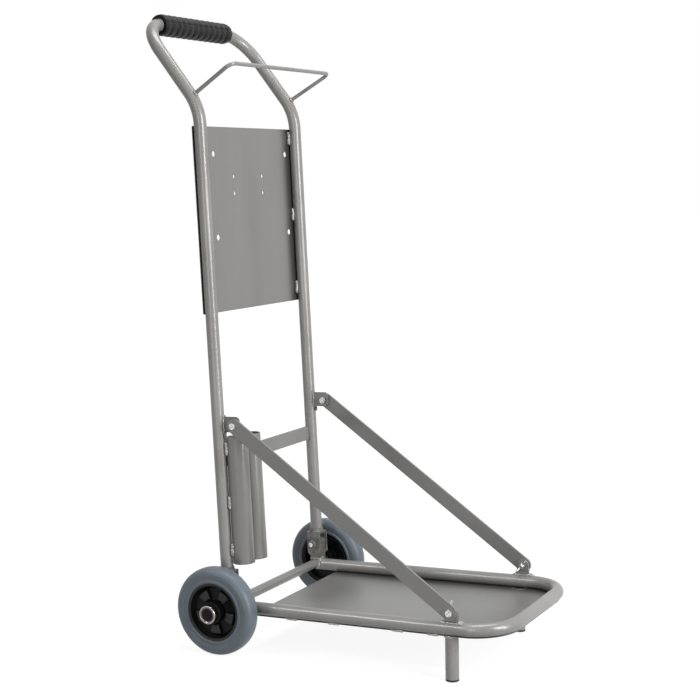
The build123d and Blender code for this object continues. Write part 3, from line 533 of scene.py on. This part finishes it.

# The pan's paint is given darker tones than the tubes' as painted shade, and its margins beside
# the rails are darkened further: painted shade under the rails.
pan_coat = silver_paint("pan_coat", deep=(0.198, 0.196, 0.191), pale=(0.245, 0.242, 0.236),
                        drift_scale=ROLLED_WAY, gloss=(0.27, 0.4), shine=0.45)
painted_crevice_shade(pan_coat, full_to=0.115, edge_at=0.163, left=CREVICE_SHADE_LEFT, tube_side=(0, 0, 1))
coat_nodes(pan_coat, "tray_pan")
coat_nodes(silver_coat, "foot_left", "foot_right")
# the axle and the lower lugs take the darker sheet tones: painted shade
coat_nodes(shaded_sheet_coat, "axle", "lower_lug_left", "lower_lug_right")
coat_nodes(hinge_coat, "hinge_post_left", "hinge_post_right")

tray_run = bent_run([truck(-RAIL_X, 0, RAIL_DROP), truck(-RAIL_X, TRAY_FRONT, RAIL_DROP),
                     truck(RAIL_X, TRAY_FRONT, RAIL_DROP), truck(RAIL_X, 0, RAIL_DROP)],
                    (TRAY_BEND, TRAY_BEND), "bent_tray_tube")
tray_tube = grow("bent_tray_tube", tray_run, tube_tree, {"Radius": TUBE_R, "Finish": silver_coat})
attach(tray_tube, "tray")
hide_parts("tray_frame")

lower_pivot = box_middle("lower_bolt_right")
lug_back = (lower_pivot - axle_mid).dot(back_way)
foot_mid = box_middle("foot_right")


def rail_top(x):
    return RAIL_DROP + math.sqrt(TUBE_R ** 2 - (x - RAIL_X) ** 2)


def fore_and_aft(x, middle, half, up, width):
    return straight(truck(x, middle - half, up), truck(x, middle + half, up), width)


lines = []
for sign in (-1, 1):
    # the rail's saddle on the axle
    saddle = []
    for step in range(SADDLE_STEPS + 1):
        a = math.radians(-15 + 105 * step / SADDLE_STEPS)
        x = sign * (RAIL_X - TUBE_R * math.cos(a))
        up = min(RAIL_DROP + TUBE_R * math.sin(a), SADDLE_TOP)
        saddle.append((truck(x, -math.sqrt(AXLE_SKIN ** 2 - up ** 2) - 0.0006, up), 0.0032))
    lines.append(saddle)
    # the hinge post's foot: its front corner, across its front, and along its inner side
    lines.append(straight(truck(sign * 0.1655, -0.0128, 0.0068),
                          truck(sign * 0.1735, -0.0068, 0.0112), 0.0030))
    lines.append([(truck(sign * x, POST_FRONT, rail_top(x) + 0.0008), 0.0034)
                  for x in POST_FRONT_XS])
    lines.append(fore_and_aft(sign * POST_SIDE_X, 0, 0.010, 0.0105, 0.0021))
    # both sides of the lower lug and round its ends
    for x in LUG_SIDES_X:
        lines.append(fore_and_aft(sign * x, lug_back, LUG_HALF, rail_top(x) + 0.0004, 0.0029))
    for end in (-LUG_END, LUG_END):
        lines.append(straight(truck(sign * 0.1760, lug_back + end, 0.0106),
                              truck(sign * 0.1806, lug_back + end, 0.0104), 0.0036))
    # rings round the top of the foot
    for drop, wide in FOOT_RINGS:
        top = Vector((sign * FOOT_X, foot_mid.y, foot_mid.z + FOOT_TOP - drop))
        lines.append(round_tube(top, Vector((1, 0, 0)), Vector((0, 1, -0.035)), FOOT_RING_R, wide))
    # stitches between the sheet's edge and the rail
    for middle in PAN_STITCHES:
        lines.append(fore_and_aft(sign * PAN_EDGE_X, middle, PAN_STITCH_HALF, RAIL_DROP - 0.0135,
                                  0.0028))
tray_beads = grow("tray_weld_beads", bead_paths("tray_weld_beads", lines), bead_tree,
                  {"Step": BEAD_STEP, "Seed": 8, "Finish": weld_coat})
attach(tray_beads, "tray")

# ---- Foot caps ---------------------------------------------------------------------------
# Moulded plugs of black plastic, pushed into the lower ends of the feet. They close the tubes
# and keep them from marking the floor.


def grained(name, dark, light, cloud, pores, gloss, bump, span=(0.0, 1.0), metal=0.0, shine=0.5):
    """Tone and gloss drift with a cloud of noise, and fine pores raise the surface."""
    made, net, surface = start_material(name)
    place = object_place(net)
    drift = noise(net, place, *cloud)
    plug(net, surface, {
        "Base Color": blend_colours(net, drift, dark, light, *span),
        "Roughness": remap(net, drift, *gloss),
        "Normal": raised(net, noise(net, place, *pores), *bump),
        "Metallic": metal, "Specular IOR Level": shine})
    return made


cap_plastic = grained("cap_plastic", dark=(0.008, 0.008, 0.0085), light=(0.03, 0.03, 0.031),
                      cloud=(120, 6), pores=(700, 3), gloss=(0.35, 0.6), bump=(0.25, 0.0003))
coat_nodes(cap_plastic, "foot_cap_left", "foot_cap_right")

# ---- Braces ------------------------------------------------------------------------------
# Two 30 by 5 mm flat steel bars, cut with round ends, drilled and painted. They hold the
# handle square to the tray.

# the braces take the darker sheet tones: painted shade on their faces
coat_nodes(shaded_sheet_coat, "brace_left", "brace_right")

# ---- Upper bolts, nuts and washers -------------------------------------------------------
# M8 hexagon bolts on which the braces turn, with the heads outside and a nut and a little
# bare thread inside each lug. All are turned steel with a bright zinc plate.

HEX_APOTHEM = 0.0065
HEAD_THICK = 0.0053
NUT_THICK = 0.0079
BOLT_R = 0.004
BOLT_INNER_X = 0.1654
THREAD_FROM = 0.012
THREAD_PITCH = 0.00125
WASHER_R = 0.008
WASHER_THICK = 0.001
SHANK_SHARE, ROOT_SHARE = 0.985, 0.86
CHAMFER_FROM, CHAMFER_SLOPE = 0.97, 0.6
HEAD_DIP, NUT_EDGE, BORE_EDGE, WASHER_EDGE = 0.0003, 0.0003, 0.0007, 0.0002


def hexagon(apothem):
    return lambda a: apothem / math.cos((a + math.pi / 6) % (math.pi / 3) - math.pi / 6)


def chamfered(face, apothem, way=1):
    """How far out the hexagon's rim lies: the corners fall away from the face."""
    return lambda a: face - way * (hexagon(apothem)(a) - apothem * CHAMFER_FROM) * CHAMFER_SLOPE


def off_line(centre, out, radius, a):
    """A point out along a line across the truck, and radius away from it at the angle a."""
    return (centre + Vector((out, 0, 0)) + back_way * (radius * math.cos(a))
            + up_way * (radius * math.sin(a)))


def turn_rings(shape, centre, rows, facing, steps=48):
    """Rings round a line across the truck: each row is how far out along it, and how wide."""
    rings = []
    for outward, radius in rows:
        ring = []
        if radius == 0:
            ring.append(shape.verts.new(centre + Vector((facing * outward, 0, 0))))
        else:
            for step in range(steps):
                a = math.tau * step / steps
                out = outward(a) if callable(outward) else outward
                wide = radius(a) if callable(radius) else radius
                ring.append(shape.verts.new(off_line(centre, facing * out, wide, a)))
        rings.append(ring)
    if rows[0][1] != 0:
        rings.append(rings[0])
    for near, far in zip(rings, rings[1:]):
        for step in range(max(len(near), len(far))):
            corners = []
            for ring, spot in ((near, step), (near, step + 1), (far, step + 1), (far, step)):
                corner = ring[spot % len(ring)]
                if corner not in corners:
                    corners.append(corner)
            shape.faces.new(corners)


def finished(name, shape, material, body, slot_name, *replaced, crease=35):
    bmesh.ops.recalc_face_normals(shape, faces=shape.faces)
    for face in shape.faces:
        face.smooth = True
    for seam_edge in shape.edges:
        seam_edge.smooth = seam_edge.calc_face_angle(0) < math.radians(crease)
    mesh = bpy.data.meshes.new(name)
    shape.to_mesh(mesh)
    shape.free()
    mesh.materials.append(material)
    piece = bpy.data.objects.new(name, mesh)
    bpy.context.scene.collection.objects.link(piece)
    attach(piece, body)
    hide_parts(*replaced)
    return piece


def hex_head(shape, centre, facing, thick, apothem):
    flat = apothem * 0.95
    dip = thick - HEAD_DIP
    turn_rings(shape, centre, [(0, 0), (0, hexagon(apothem)),
               (chamfered(dip, apothem), hexagon(apothem)), (thick, flat), (thick, flat * 0.6),
               (dip, flat * 0.55), (dip, 0)], facing)


def hex_nut(shape, centre, facing, thick, apothem, bore):
    flat = apothem * 0.97
    turn_rings(shape, centre, [
        (0, bore), (0, flat), (chamfered(NUT_EDGE, apothem, -1), hexagon(apothem)),
        (chamfered(thick - NUT_EDGE, apothem), hexagon(apothem)), (thick, flat),
        (thick, bore + BORE_EDGE), (thick - BORE_EDGE, bore)], facing)


def threaded_rod(shape, centre, facing, length, radius, thread_from, pitch):
    """A plain length at the start, then roots and crests as far as the end."""
    rows = [(0, 0), (0, radius), (thread_from, radius)]
    out = thread_from
    while out < length - pitch * 1.2:
        rows += [(out + pitch * 0.45, radius * 0.87), (out + pitch, radius)]
        out += pitch
    rows += [(length, radius * 0.82), (length, 0)]
    turn_rings(shape, centre, rows, facing, steps=32)


def thread_tip(shape, centre, facing, radius, spacing, count, length):
    """The first crests and roots of a thread, as they stand out of a nut."""
    rows = [(-0.00002, 0), (-0.00002, radius * 0.8)]
    for turn in range(count):
        share = ROOT_SHARE if turn % 2 else SHANK_SHARE
        rows.append((spacing * (turn + 1), radius * share))
    turn_rings(shape, centre, rows + [(length, 0)], facing, steps=32)


def ring_washer(shape, centre, facing, inner, outer, thick):
    face_r = outer - WASHER_EDGE
    turn_rings(shape, centre, [(0, inner), (0, face_r), (WASHER_EDGE, outer),
               (thick - WASHER_EDGE, outer), (thick, face_r), (thick, inner)], facing)


def out_to(pivot, sign, x):
    """The point on a pivot's line that lies x out from the truck's middle, on one side."""
    return Vector((sign * x, pivot.y, pivot.z))


zinc_plate = grained("zinc_plate", dark=(0.3, 0.3, 0.305), light=(0.8, 0.8, 0.81),
                     cloud=(260, 4), pores=(1500, 2), gloss=(0.16, 0.36), bump=(0.25, 0.0002),
                     span=(0.36, 0.64), metal=1.0)

upper_pivot = box_middle("upper_washers")
washer_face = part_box("upper_washers")[1].x
nut_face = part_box("upper_nuts")[1].x
head_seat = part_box("upper_bolts")[1].x - HEAD_THICK
bolts, nuts, rounds = bmesh.new(), bmesh.new(), bmesh.new()
for sign in (-1, 1):
    inner_end = out_to(upper_pivot, sign, BOLT_INNER_X)
    threaded_rod(bolts, inner_end, sign, head_seat - BOLT_INNER_X, BOLT_R * SHANK_SHARE,
                 THREAD_FROM, THREAD_PITCH)
    thread_tip(bolts, inner_end, sign, BOLT_R, spacing=0.0006, count=5, length=0.0031)
    hex_head(bolts, out_to(upper_pivot, sign, head_seat), sign, HEAD_THICK, HEX_APOTHEM)
    hex_nut(nuts, out_to(upper_pivot, sign, nut_face), -sign, NUT_THICK, HEX_APOTHEM, BOLT_R)
    ring_washer(rounds, out_to(upper_pivot, sign, washer_face), -sign, BOLT_R, WASHER_R,
                WASHER_THICK)
finished("upper_hex_bolts", bolts, zinc_plate, "handle", "zinc", "upper_bolts")
finished("upper_hex_nuts", nuts, zinc_plate, "handle", "zinc", "upper_nuts")
finished("upper_round_washers", rounds, zinc_plate, "handle", "zinc", "upper_washers")

# ---- Hinge bolts, nuts and washers -------------------------------------------------------
# An M10 hexagon bolt through each clevis is the hinge's pin, with a wide washer and a nut on
# its inner end. The bolt is bright zinc, while washer and nut took the clevis's dark coat.

HINGE_R = 0.005
HINGE_APOTHEM = 0.0079
HINGE_HEAD_THICK = 0.006
HINGE_NUT_THICK = 0.008
HINGE_THREAD_OUT = 0.0025
HINGE_THREAD_FROM = 0.0125
HINGE_THREAD_PITCH = 0.0015
HINGE_WASHER_R = 0.012
HINGE_WASHER_THICK = 0.002

hinge_mid = box_middle("hinge_washers")
washer_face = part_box("hinge_washers")[1].x
nut_face = washer_face - HINGE_WASHER_THICK
pin_end = nut_face - HINGE_NUT_THICK - HINGE_THREAD_OUT
head_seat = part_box("hinge_bolts")[1].x - HINGE_HEAD_THICK
pins, nuts, rounds = bmesh.new(), bmesh.new(), bmesh.new()
for sign in (-1, 1):
    inner_end = out_to(hinge_mid, sign, pin_end)
    threaded_rod(pins, inner_end, sign, head_seat - pin_end, HINGE_R * SHANK_SHARE,
                 HINGE_THREAD_FROM, HINGE_THREAD_PITCH)
    thread_tip(pins, inner_end, sign, HINGE_R, spacing=0.0007, count=4, length=0.003)
    hex_head(pins, out_to(hinge_mid, sign, head_seat), sign, HINGE_HEAD_THICK, HINGE_APOTHEM)
    hex_nut(nuts, out_to(hinge_mid, sign, nut_face), -sign, HINGE_NUT_THICK, HINGE_APOTHEM,
            HINGE_R)
    ring_washer(rounds, out_to(hinge_mid, sign, washer_face), -sign, HINGE_R, HINGE_WASHER_R,
                HINGE_WASHER_THICK)
finished("hinge_pins", pins, zinc_plate, "handle", "zinc", "hinge_bolts")
finished("hinge_hex_nuts", nuts, hinge_coat, "handle", "zinc", "hinge_nuts")
finished("hinge_round_washers", rounds, hinge_coat, "handle", "zinc", "hinge_washers")

# ---- Lower bolts -------------------------------------------------------------------------
# The bolts that come off to fold the truck. Head and shank stay in each brace, and the
# threaded end stays in its lug with the wing nut.

LOWER_END_X = 0.1653
SIDES = ((-1, "left"), (1, "right"))

brace_face, head_face = (corner.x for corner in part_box("lower_bolt_right"))
for sign, side_name in SIDES:
    shape = bmesh.new()
    seat = out_to(lower_pivot, sign, head_face - HEAD_THICK)
    shank = brace_face - head_face + HEAD_THICK
    hex_head(shape, seat, sign, HEAD_THICK, HEX_APOTHEM)
    turn_rings(shape, seat, [(0, 0), (0, BOLT_R * SHANK_SHARE), (shank, BOLT_R * SHANK_SHARE),
               (shank, 0)], sign, steps=32)
    finished("lower_bolt_" + side_name + "_hex", shape, zinc_plate, side_name + "_brace", "zinc",
             "lower_bolt_" + side_name)

shape = bmesh.new()
for sign in (-1, 1):
    threaded_rod(shape, out_to(lower_pivot, sign, LOWER_END_X), sign,
                 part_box("lower_bolt_ends")[1].x - LOWER_END_X, BOLT_R * SHANK_SHARE, 0.0,
                 THREAD_PITCH)
finished("lower_thread_ends", shape, zinc_plate, "tray", "zinc", "lower_bolt_ends")

# ---- Wing nuts ---------------------------------------------------------------------------
# Stamped and plated wing nuts, each with a conical hub and two thumb wings that lean away
# from the lug. Each stopped at its own angle when it came tight.

LUG_X = 0.1758
WING_TURNS = ((-1, -22), (1, 43))
WING_THICK, WING_REACH = 0.0026, 0.006
# through a wing: share of half its thickness, and how far its outline is drawn in there
WING_LAYERS = ((-1, 0.0007), (-0.62, 0.0), (0.62, 0.0), (1, 0.0007))
# round one wing: in from the lug, and out from the hub's middle
WING_OUTLINE = ((0.0016, 0.0055), (0.0030, 0.0080), (0.0062, 0.0122), (0.0090, 0.0170),
                (0.0118, 0.0186), (0.0150, 0.0189), (0.0174, 0.0178), (0.0179, 0.0158),
                (0.0168, 0.0132), (0.0140, 0.0098), (0.0108, 0.0062), (0.0080, 0.0038))
WING_HUB = ((0, BOLT_R), (0, 0.0064), (0.0006, 0.0069), (0.0030, 0.0068), (0.0064, 0.0056),
            (0.0078, 0.0052), (0.0080, 0.0048), (0.0080, BOLT_R + 0.0006), (0.0074, BOLT_R))


def close_layers(shape, layers):
    """Walls between outlines of equally many points, and a face over the first and the last."""
    for near, far in zip(layers, layers[1:]):
        for step in range(len(near)):
            after = (step + 1) % len(near)
            shape.faces.new((near[step], near[after], far[after], far[step]))
    shape.faces.new(layers[0])
    shape.faces.new(layers[-1])


mid_in, mid_out = (sum(row) / len(WING_OUTLINE) for row in zip(*WING_OUTLINE))
shape = bmesh.new()
for sign, turn in WING_TURNS:
    hub = out_to(lower_pivot, sign, LUG_X)
    turn_rings(shape, hub, WING_HUB, -sign)
    tilt = math.radians(turn)
    out_way = up_way * math.cos(tilt) - back_way * math.sin(tilt)
    thick_way = back_way * math.cos(tilt) + up_way * math.sin(tilt)
    for way in (-1, 1):
        layers = []
        for face, inset in WING_LAYERS:
            kept = 1 - inset / WING_REACH
            layers.append([shape.verts.new(
                hub + Vector((-sign * (mid_in + (inward - mid_in) * kept), 0, 0))
                + out_way * (way * (mid_out + (out - mid_out) * kept))
                + thick_way * (face * WING_THICK / 2)) for inward, out in WING_OUTLINE])
        close_layers(shape, layers)
finished("stamped_wing_nuts", shape, zinc_plate, "tray", "zinc", "wing_nuts", crease=50)

# ---- Axle spacers ------------------------------------------------------------------------
# Short sleeves of zinc-plated steel, pushed onto the axle. They keep the wheels off the
# hinge posts.

coat_nodes(zinc_plate, "axle_spacers")

# ---- Wheel rims --------------------------------------------------------------------------
# Moulded black plastic rims: a lipped flange that holds the tyre, a dished web with five
# raised pads, and a long hub that turns on the axle.

WHEEL_X = 0.2245
HUB_BORE_R = 0.01005
# rows of how far out from the wheel's middle, and of radius
RIM_LIP = (
    (-0.0170, 0.0584), (0.0170, 0.0584), (0.0176, 0.0580), (0.0177, 0.0562), (0.0170, 0.0553),
    (0.0160, 0.0549), (0.0157, 0.0540), (0.0150, 0.0530))
RIM_DISH = (
    (0.0120, 0.0520), (0.0112, 0.0514), (0.0085, 0.0500), (0.0074, 0.0488), (0.0062, 0.0482),
    (0.0046, 0.0470), (0.0040, 0.0455), (0.0040, 0.0250))
RIM_HUB = (
    (0.0046, 0.0232), (0.0062, 0.0224), (0.0228, 0.0218), (0.0238, 0.0210), (0.0240, 0.0196),
    (0.0240, HUB_BORE_R), (-0.0200, HUB_BORE_R), (-0.0200, 0.0212), (-0.0194, 0.0221))
RIM_BACK = (
    (-0.0050, 0.0226), (-0.0040, 0.0240), (-0.0040, 0.0455), (-0.0060, 0.0475),
    (-0.0150, 0.0505), (-0.0166, 0.0530))
PAD_COUNT = 5
PAD_START, PAD_SWEEP = 54, 33
PAD_INNER, PAD_MIDDLE, PAD_OUTER = 0.0262, 0.0360, 0.0452
PAD_TOP = 0.0108
SHEEN_FROM = PAD_TOP - 0.0008
SHEEN_LIP = 0.0535
# how far out each outline of a pad lies, and how far it is drawn in from the full outline
PAD_LAYERS = ((0.0036, 0.0), (PAD_TOP - 0.0012, 0.0006), (PAD_TOP, 0.0020))

rim_plastic = grained("rim_plastic", dark=(0.002, 0.002, 0.0022), light=(0.006, 0.006, 0.0062),
                      cloud=(45, 4, 1.2), pores=(420, 4), gloss=(0.3, 0.5), bump=(0.18, 0.0004),
                      shine=0.12)
# lighter plastic for the pads' tops and the lip's face: painted sheen
sheen_plastic = grained("sheen_plastic", dark=(0.022, 0.022, 0.022), light=(0.04, 0.039, 0.038),
                        cloud=(90, 4), pores=(900, 3), gloss=(0.4, 0.6), bump=(0.3, 0.0003),
                        shine=0.25)


def pad_outline(middle_turn, drawn_in):
    """Radius and angle of points on a pad's outer arc, and back along its inner arc."""
    half = PAD_SWEEP / 2 - math.degrees(drawn_in / PAD_MIDDLE)
    turns = [math.radians(middle_turn + half * step / 4) for step in range(-4, 5)]
    return ([(PAD_OUTER - drawn_in, a) for a in turns]
            + [(PAD_INNER + drawn_in, a) for a in reversed(turns)])


for sign, side_name in SIDES:
    wheel_mid = out_to(axle_mid, sign, WHEEL_X)
    shape = bmesh.new()
    turn_rings(shape, wheel_mid, RIM_LIP + RIM_DISH + RIM_HUB + RIM_BACK, sign, steps=96)
    for pad in range(PAD_COUNT):
        layers = []
        for out, drawn_in in PAD_LAYERS:
            outline = pad_outline(PAD_START + 360 / PAD_COUNT * pad, drawn_in)
            layers.append([shape.verts.new(off_line(wheel_mid, sign * out, radius, a))
                           for radius, a in outline])
        close_layers(shape, layers)
    # the pads' tops and the lip's face get a lighter, shinier plastic: the lighter colour is a
    # painted sheen, against the near-black recessed web
    for face in shape.faces:
        off_mid = face.calc_center_median() - wheel_mid
        radius = Vector((0, off_mid.y, off_mid.z)).length
        outward = sign * off_mid.x
        on_lip = radius > SHEEN_LIP
        on_pad = outward < PAD_TOP + 0.001 and PAD_INNER < radius < PAD_OUTER
        if outward > SHEEN_FROM and (on_lip or on_pad):
            face.material_index = 1
    rim = finished("moulded_rim_" + side_name, shape, rim_plastic, side_name + "_wheel",
                   "black_plastic", "wheel_rim_" + side_name, crease=28)
    rim.data.materials.append(sheen_plastic)

# ---- Tyres -------------------------------------------------------------------------------
# Solid slate-grey rubber tyres, moulded onto the rims, with a raised ring beside the rim,
# full sidewalls and a smooth tread.

# rows of how far out from the wheel's middle, and of radius
TYRE_RING = (
    (0.0170, 0.0585), (0.0179, 0.0592), (0.0184, 0.0606), (0.0187, 0.0624), (0.0184, 0.0641),
    (0.0176, 0.0650), (0.0172, 0.0658))
TYRE_WALL = (
    (0.0175, 0.0668), (0.0183, 0.0690), (0.0189, 0.0720), (0.01905, 0.0755), (0.0189, 0.0775),
    (0.0189, 0.0781), (0.01845, 0.0785), (0.0182, 0.0796))
TYRE_SHOULDER = (
    (0.0174, 0.0821), (0.0154, 0.0849), (0.0126, 0.0869), (0.0090, 0.0882), (0.0045, 0.0888))
TREAD_R = 0.0889

tyre_rubber = grained("tyre_rubber", dark=(0.124, 0.15, 0.178), light=(0.152, 0.182, 0.214),
                      cloud=(26, 6), pores=(520, 3), gloss=(0.34, 0.5), bump=(0.1, 0.0003),
                      span=(0.3, 0.7))

tyre_side = TYRE_RING + TYRE_WALL + TYRE_SHOULDER
tyre_rows = [*tyre_side, (0, TREAD_R), *((-out, radius) for out, radius in reversed(tyre_side))]
for sign, side_name in SIDES:
    shape = bmesh.new()
    turn_rings(shape, out_to(axle_mid, sign, WHEEL_X), tyre_rows, sign, steps=144)
    finished("solid_tyre_" + side_name, shape, tyre_rubber, side_name + "_wheel",
             "grey_tyre", "tyre_" + side_name, crease=60)

# ---- Hub caps ----------------------------------------------------------------------------
# Push-on caps of thin chromed steel grip the ends of the axle. A rolled rim stands round a
# face painted near black and not metallic: a painted dark reflection in the chrome.

CAP_WALL_R = 0.0190
CAP_SEAT, CAP_BORE_R = 0.0072, 0.0101
DARK_FACE_R, CHROME_R = 0.0118, 0.0166
DENT_COUNT, DENT_DEEP = 14, 0.00035


def dented(radius):
    return lambda a: radius - DENT_DEEP * abs(math.sin(DENT_COUNT / 2 * a)) ** 3


# rows of how far out from the hub's end, and of radius
CAP_FACE = (
    (0.0120, 0), (0.0119, 0.0080), (0.0114, 0.0128), (0.0113, 0.0140), (0.0121, 0.0150),
    (0.0127, 0.0158), (0.01295, 0.0166), (0.0127, 0.0175), (0.0119, 0.0183), (0.0106, 0.0188))
CAP_WALL = (
    (0.0090, CAP_WALL_R), (0.0076, dented(CAP_WALL_R)), (0.0034, dented(CAP_WALL_R)),
    (0.0020, CAP_WALL_R), (0.0016, 0.01875), (0.0, 0.01875))
CAP_BORE = ((0.0, CAP_BORE_R), (CAP_SEAT, CAP_BORE_R), (CAP_SEAT, 0))

chrome, net, plating = start_material("cap_chrome")
place = object_place(net)
off_axle = split(net, calc_vector(net, "SUBTRACT", place, Vector((0, axle_mid.y, axle_mid.z))))
squares = calc(net, "MULTIPLY_ADD", off_axle["Y"], off_axle["Y"],
               calc(net, "MULTIPLY", off_axle["Z"], off_axle["Z"]))
# the middle of the face is painted near black: painted dark reflection
chrome_share = remap(net, calc(net, "POWER", squares, 0.5), 0.0, 1.0, begin=DARK_FACE_R, end=CHROME_R)
scratch = noise(net, place, scale=300, detail=5)
plug(net, plating, {
    "Base Color": blend_colours(net, chrome_share, (0.004, 0.004, 0.007), (0.29, 0.268, 0.25)),
    "Roughness": remap(net, scratch, 0.1, 0.22),
    "Normal": raised(net, scratch, strength=0.1, distance=0.0002),
    "Metallic": chrome_share, "Specular IOR Level": 0.12})

for sign, side_name in SIDES:
    shape = bmesh.new()
    turn_rings(shape, out_to(axle_mid, sign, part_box("hub_cap_right")[0].x),
               CAP_FACE + CAP_WALL + CAP_BORE, sign, steps=72)
    finished("chromed_cap_" + side_name, shape, chrome, "tray", "chrome", "hub_cap_" + side_name,
             crease=40)

# ---- Floor -------------------------------------------------------------------------------
# A wide sheet of white paper. It is a little greyer round the truck, so that a soft shadow
# shows on it, and quite white further out.

FLOOR_HALF = 30
FLOOR_LIFT = 0.9
LIFT_NEAR, LIFT_FAR = 0.8, 3.0


def seen_directly(tree):
    ray = put(tree, "ShaderNodeLightPath").outputs
    mirrored = calc(tree, "MAXIMUM", ray["Is Glossy Ray"], ray["Is Transmission Ray"])
    return calc(tree, "MAXIMUM", ray["Is Camera Ray"], mirrored)


floor_paper, net, skin = start_material("floor_paper")
plug(net, skin, {"Base Color": (0.2, 0.2, 0.2, 1), "Roughness": 0.9, "Specular IOR Level": 0.1})
distance = calc_vector(net, "LENGTH", object_place(net))
lift = calc(net, "MULTIPLY", seen_directly(net),
            remap(net, distance, FLOOR_LIFT, 1.0, begin=LIFT_NEAR, end=LIFT_FAR))
glow = put(net, "ShaderNodeEmission", {"Strength": lift})
both = put(net, "ShaderNodeAddShader", {0: skin.outputs[0], 1: glow.outputs[0]})
net.links.new(both.outputs[0], net.nodes["Material Output"].inputs["Surface"])

floor_mesh = bpy.data.meshes.new("floor")
floor_mesh.from_pydata([(x * FLOOR_HALF, y * FLOOR_HALF, 0)
                        for x, y in ((-1, -1), (1, -1), (1, 1), (-1, 1))], [], [(0, 1, 2, 3)])
floor_mesh.materials.append(floor_paper)
floor = bpy.data.objects.new("floor", floor_mesh)
bpy.context.scene.collection.objects.link(floor)

# ---- Room and lamps ----------------------------------------------------------------------
# A white background. The room's own light is strong in front of the nose and weak behind it.
# Three tall lamps stand in front and at the left, one hangs overhead, and a weak thin one
# lights the rear left from above.

ROOM_FRONT = (0.60, -0.78, 0.20)
ROOM_DIM, ROOM_BRIGHT = (0.02,) * 3, (0.36,) * 3
ROOM_STRENGTH = 0.7

world = bpy.data.worlds.new("studio")
bpy.context.scene.world = world
world.use_nodes = True
net = world.node_tree
white = put(net, "ShaderNodeBackground", {"Color": (1, 1, 1, 1)})
way = put(net, "ShaderNodeTexCoord").outputs["Generated"]
forward = remap(net, calc_vector(net, "DOT_PRODUCT", way, ROOM_FRONT), 0.0, 1.0, begin=-1.0)
walls = blend_colours(net, forward, ROOM_DIM, ROOM_BRIGHT, begin=0.3, end=0.9)
room = put(net, "ShaderNodeBackground", {"Color": walls, "Strength": ROOM_STRENGTH})
choose = put(net, "ShaderNodeMixShader",
             {0: seen_directly(net), 1: room.outputs[0], 2: white.outputs[0]})
net.links.new(choose.outputs[0], net.nodes["World Output"].inputs["Surface"])


def softbox(name, place_at, aim, size, power, spread=180):
    lamp = bpy.data.lights.new(name, "AREA")
    lamp.spread = math.radians(spread)
    lamp.shape = "RECTANGLE"
    lamp.size, lamp.size_y = size
    lamp.energy = power
    holder = bpy.data.objects.new(name, lamp)
    holder.location = place_at
    holder.rotation_euler = (Vector(aim) - Vector(place_at)).to_track_quat("-Z", "Y").to_euler()
    bpy.context.scene.collection.objects.link(holder)


softbox("front_strip", (-0.3, -3.1, 1.2), (0, 0, 0.6), (0.42, 2.4), 46)
softbox("front_softbox", (-1.1, -3.1, 1.7), (0, 0, 0.5), (0.6, 1.8), 46)
softbox("side_strip", (-3.0, -0.5, 1.2), (0, 0, 0.6), (0.3, 2.2), 15)
softbox("rear_strip", (-2.0, 1.3, 2.2), (-0.1, -0.2, 0.0), (1.6, 0.12), 0.9, 30)
softbox("overhead_softbox", (0.3, -0.2, 3.4), (0, 0, 0), (1.0, 1.8), 42)

# ---- Camera ------------------------------------------------------------------------------
# It stands in front and to the left of the nose, a little below the grip's height, and looks
# slightly down.

SENSOR_WIDE = 36
LENS_LONG = 74.10549
CAMERA_AT = (-2.54317, -1.38088, 0.93538)
yaw, pitch, roll = (math.radians(a) for a in (-61.23, 6.71, -1.19))

lens_camera = bpy.data.cameras.new("camera")
lens_camera.sensor_width = SENSOR_WIDE
lens_camera.lens = LENS_LONG
lens_camera.clip_end = 100
camera = bpy.data.objects.new("camera", lens_camera)
back = Vector((math.sin(yaw) * math.cos(pitch), -math.cos(yaw) * math.cos(pitch), math.sin(pitch)))
right = Vector((math.cos(yaw), math.sin(yaw), 0))
upward_way = back.cross(right)
turned_right = math.cos(roll) * right + math.sin(roll) * upward_way
turned_up = -math.sin(roll) * right + math.cos(roll) * upward_way
turned = Matrix((turned_right, turned_up, back)).transposed().to_4x4()
camera.matrix_world = Matrix.Translation(CAMERA_AT) @ turned
bpy.context.scene.collection.objects.link(camera)
bpy.context.scene.camera = camera
bpy.context.scene.view_settings.view_transform = "Standard"
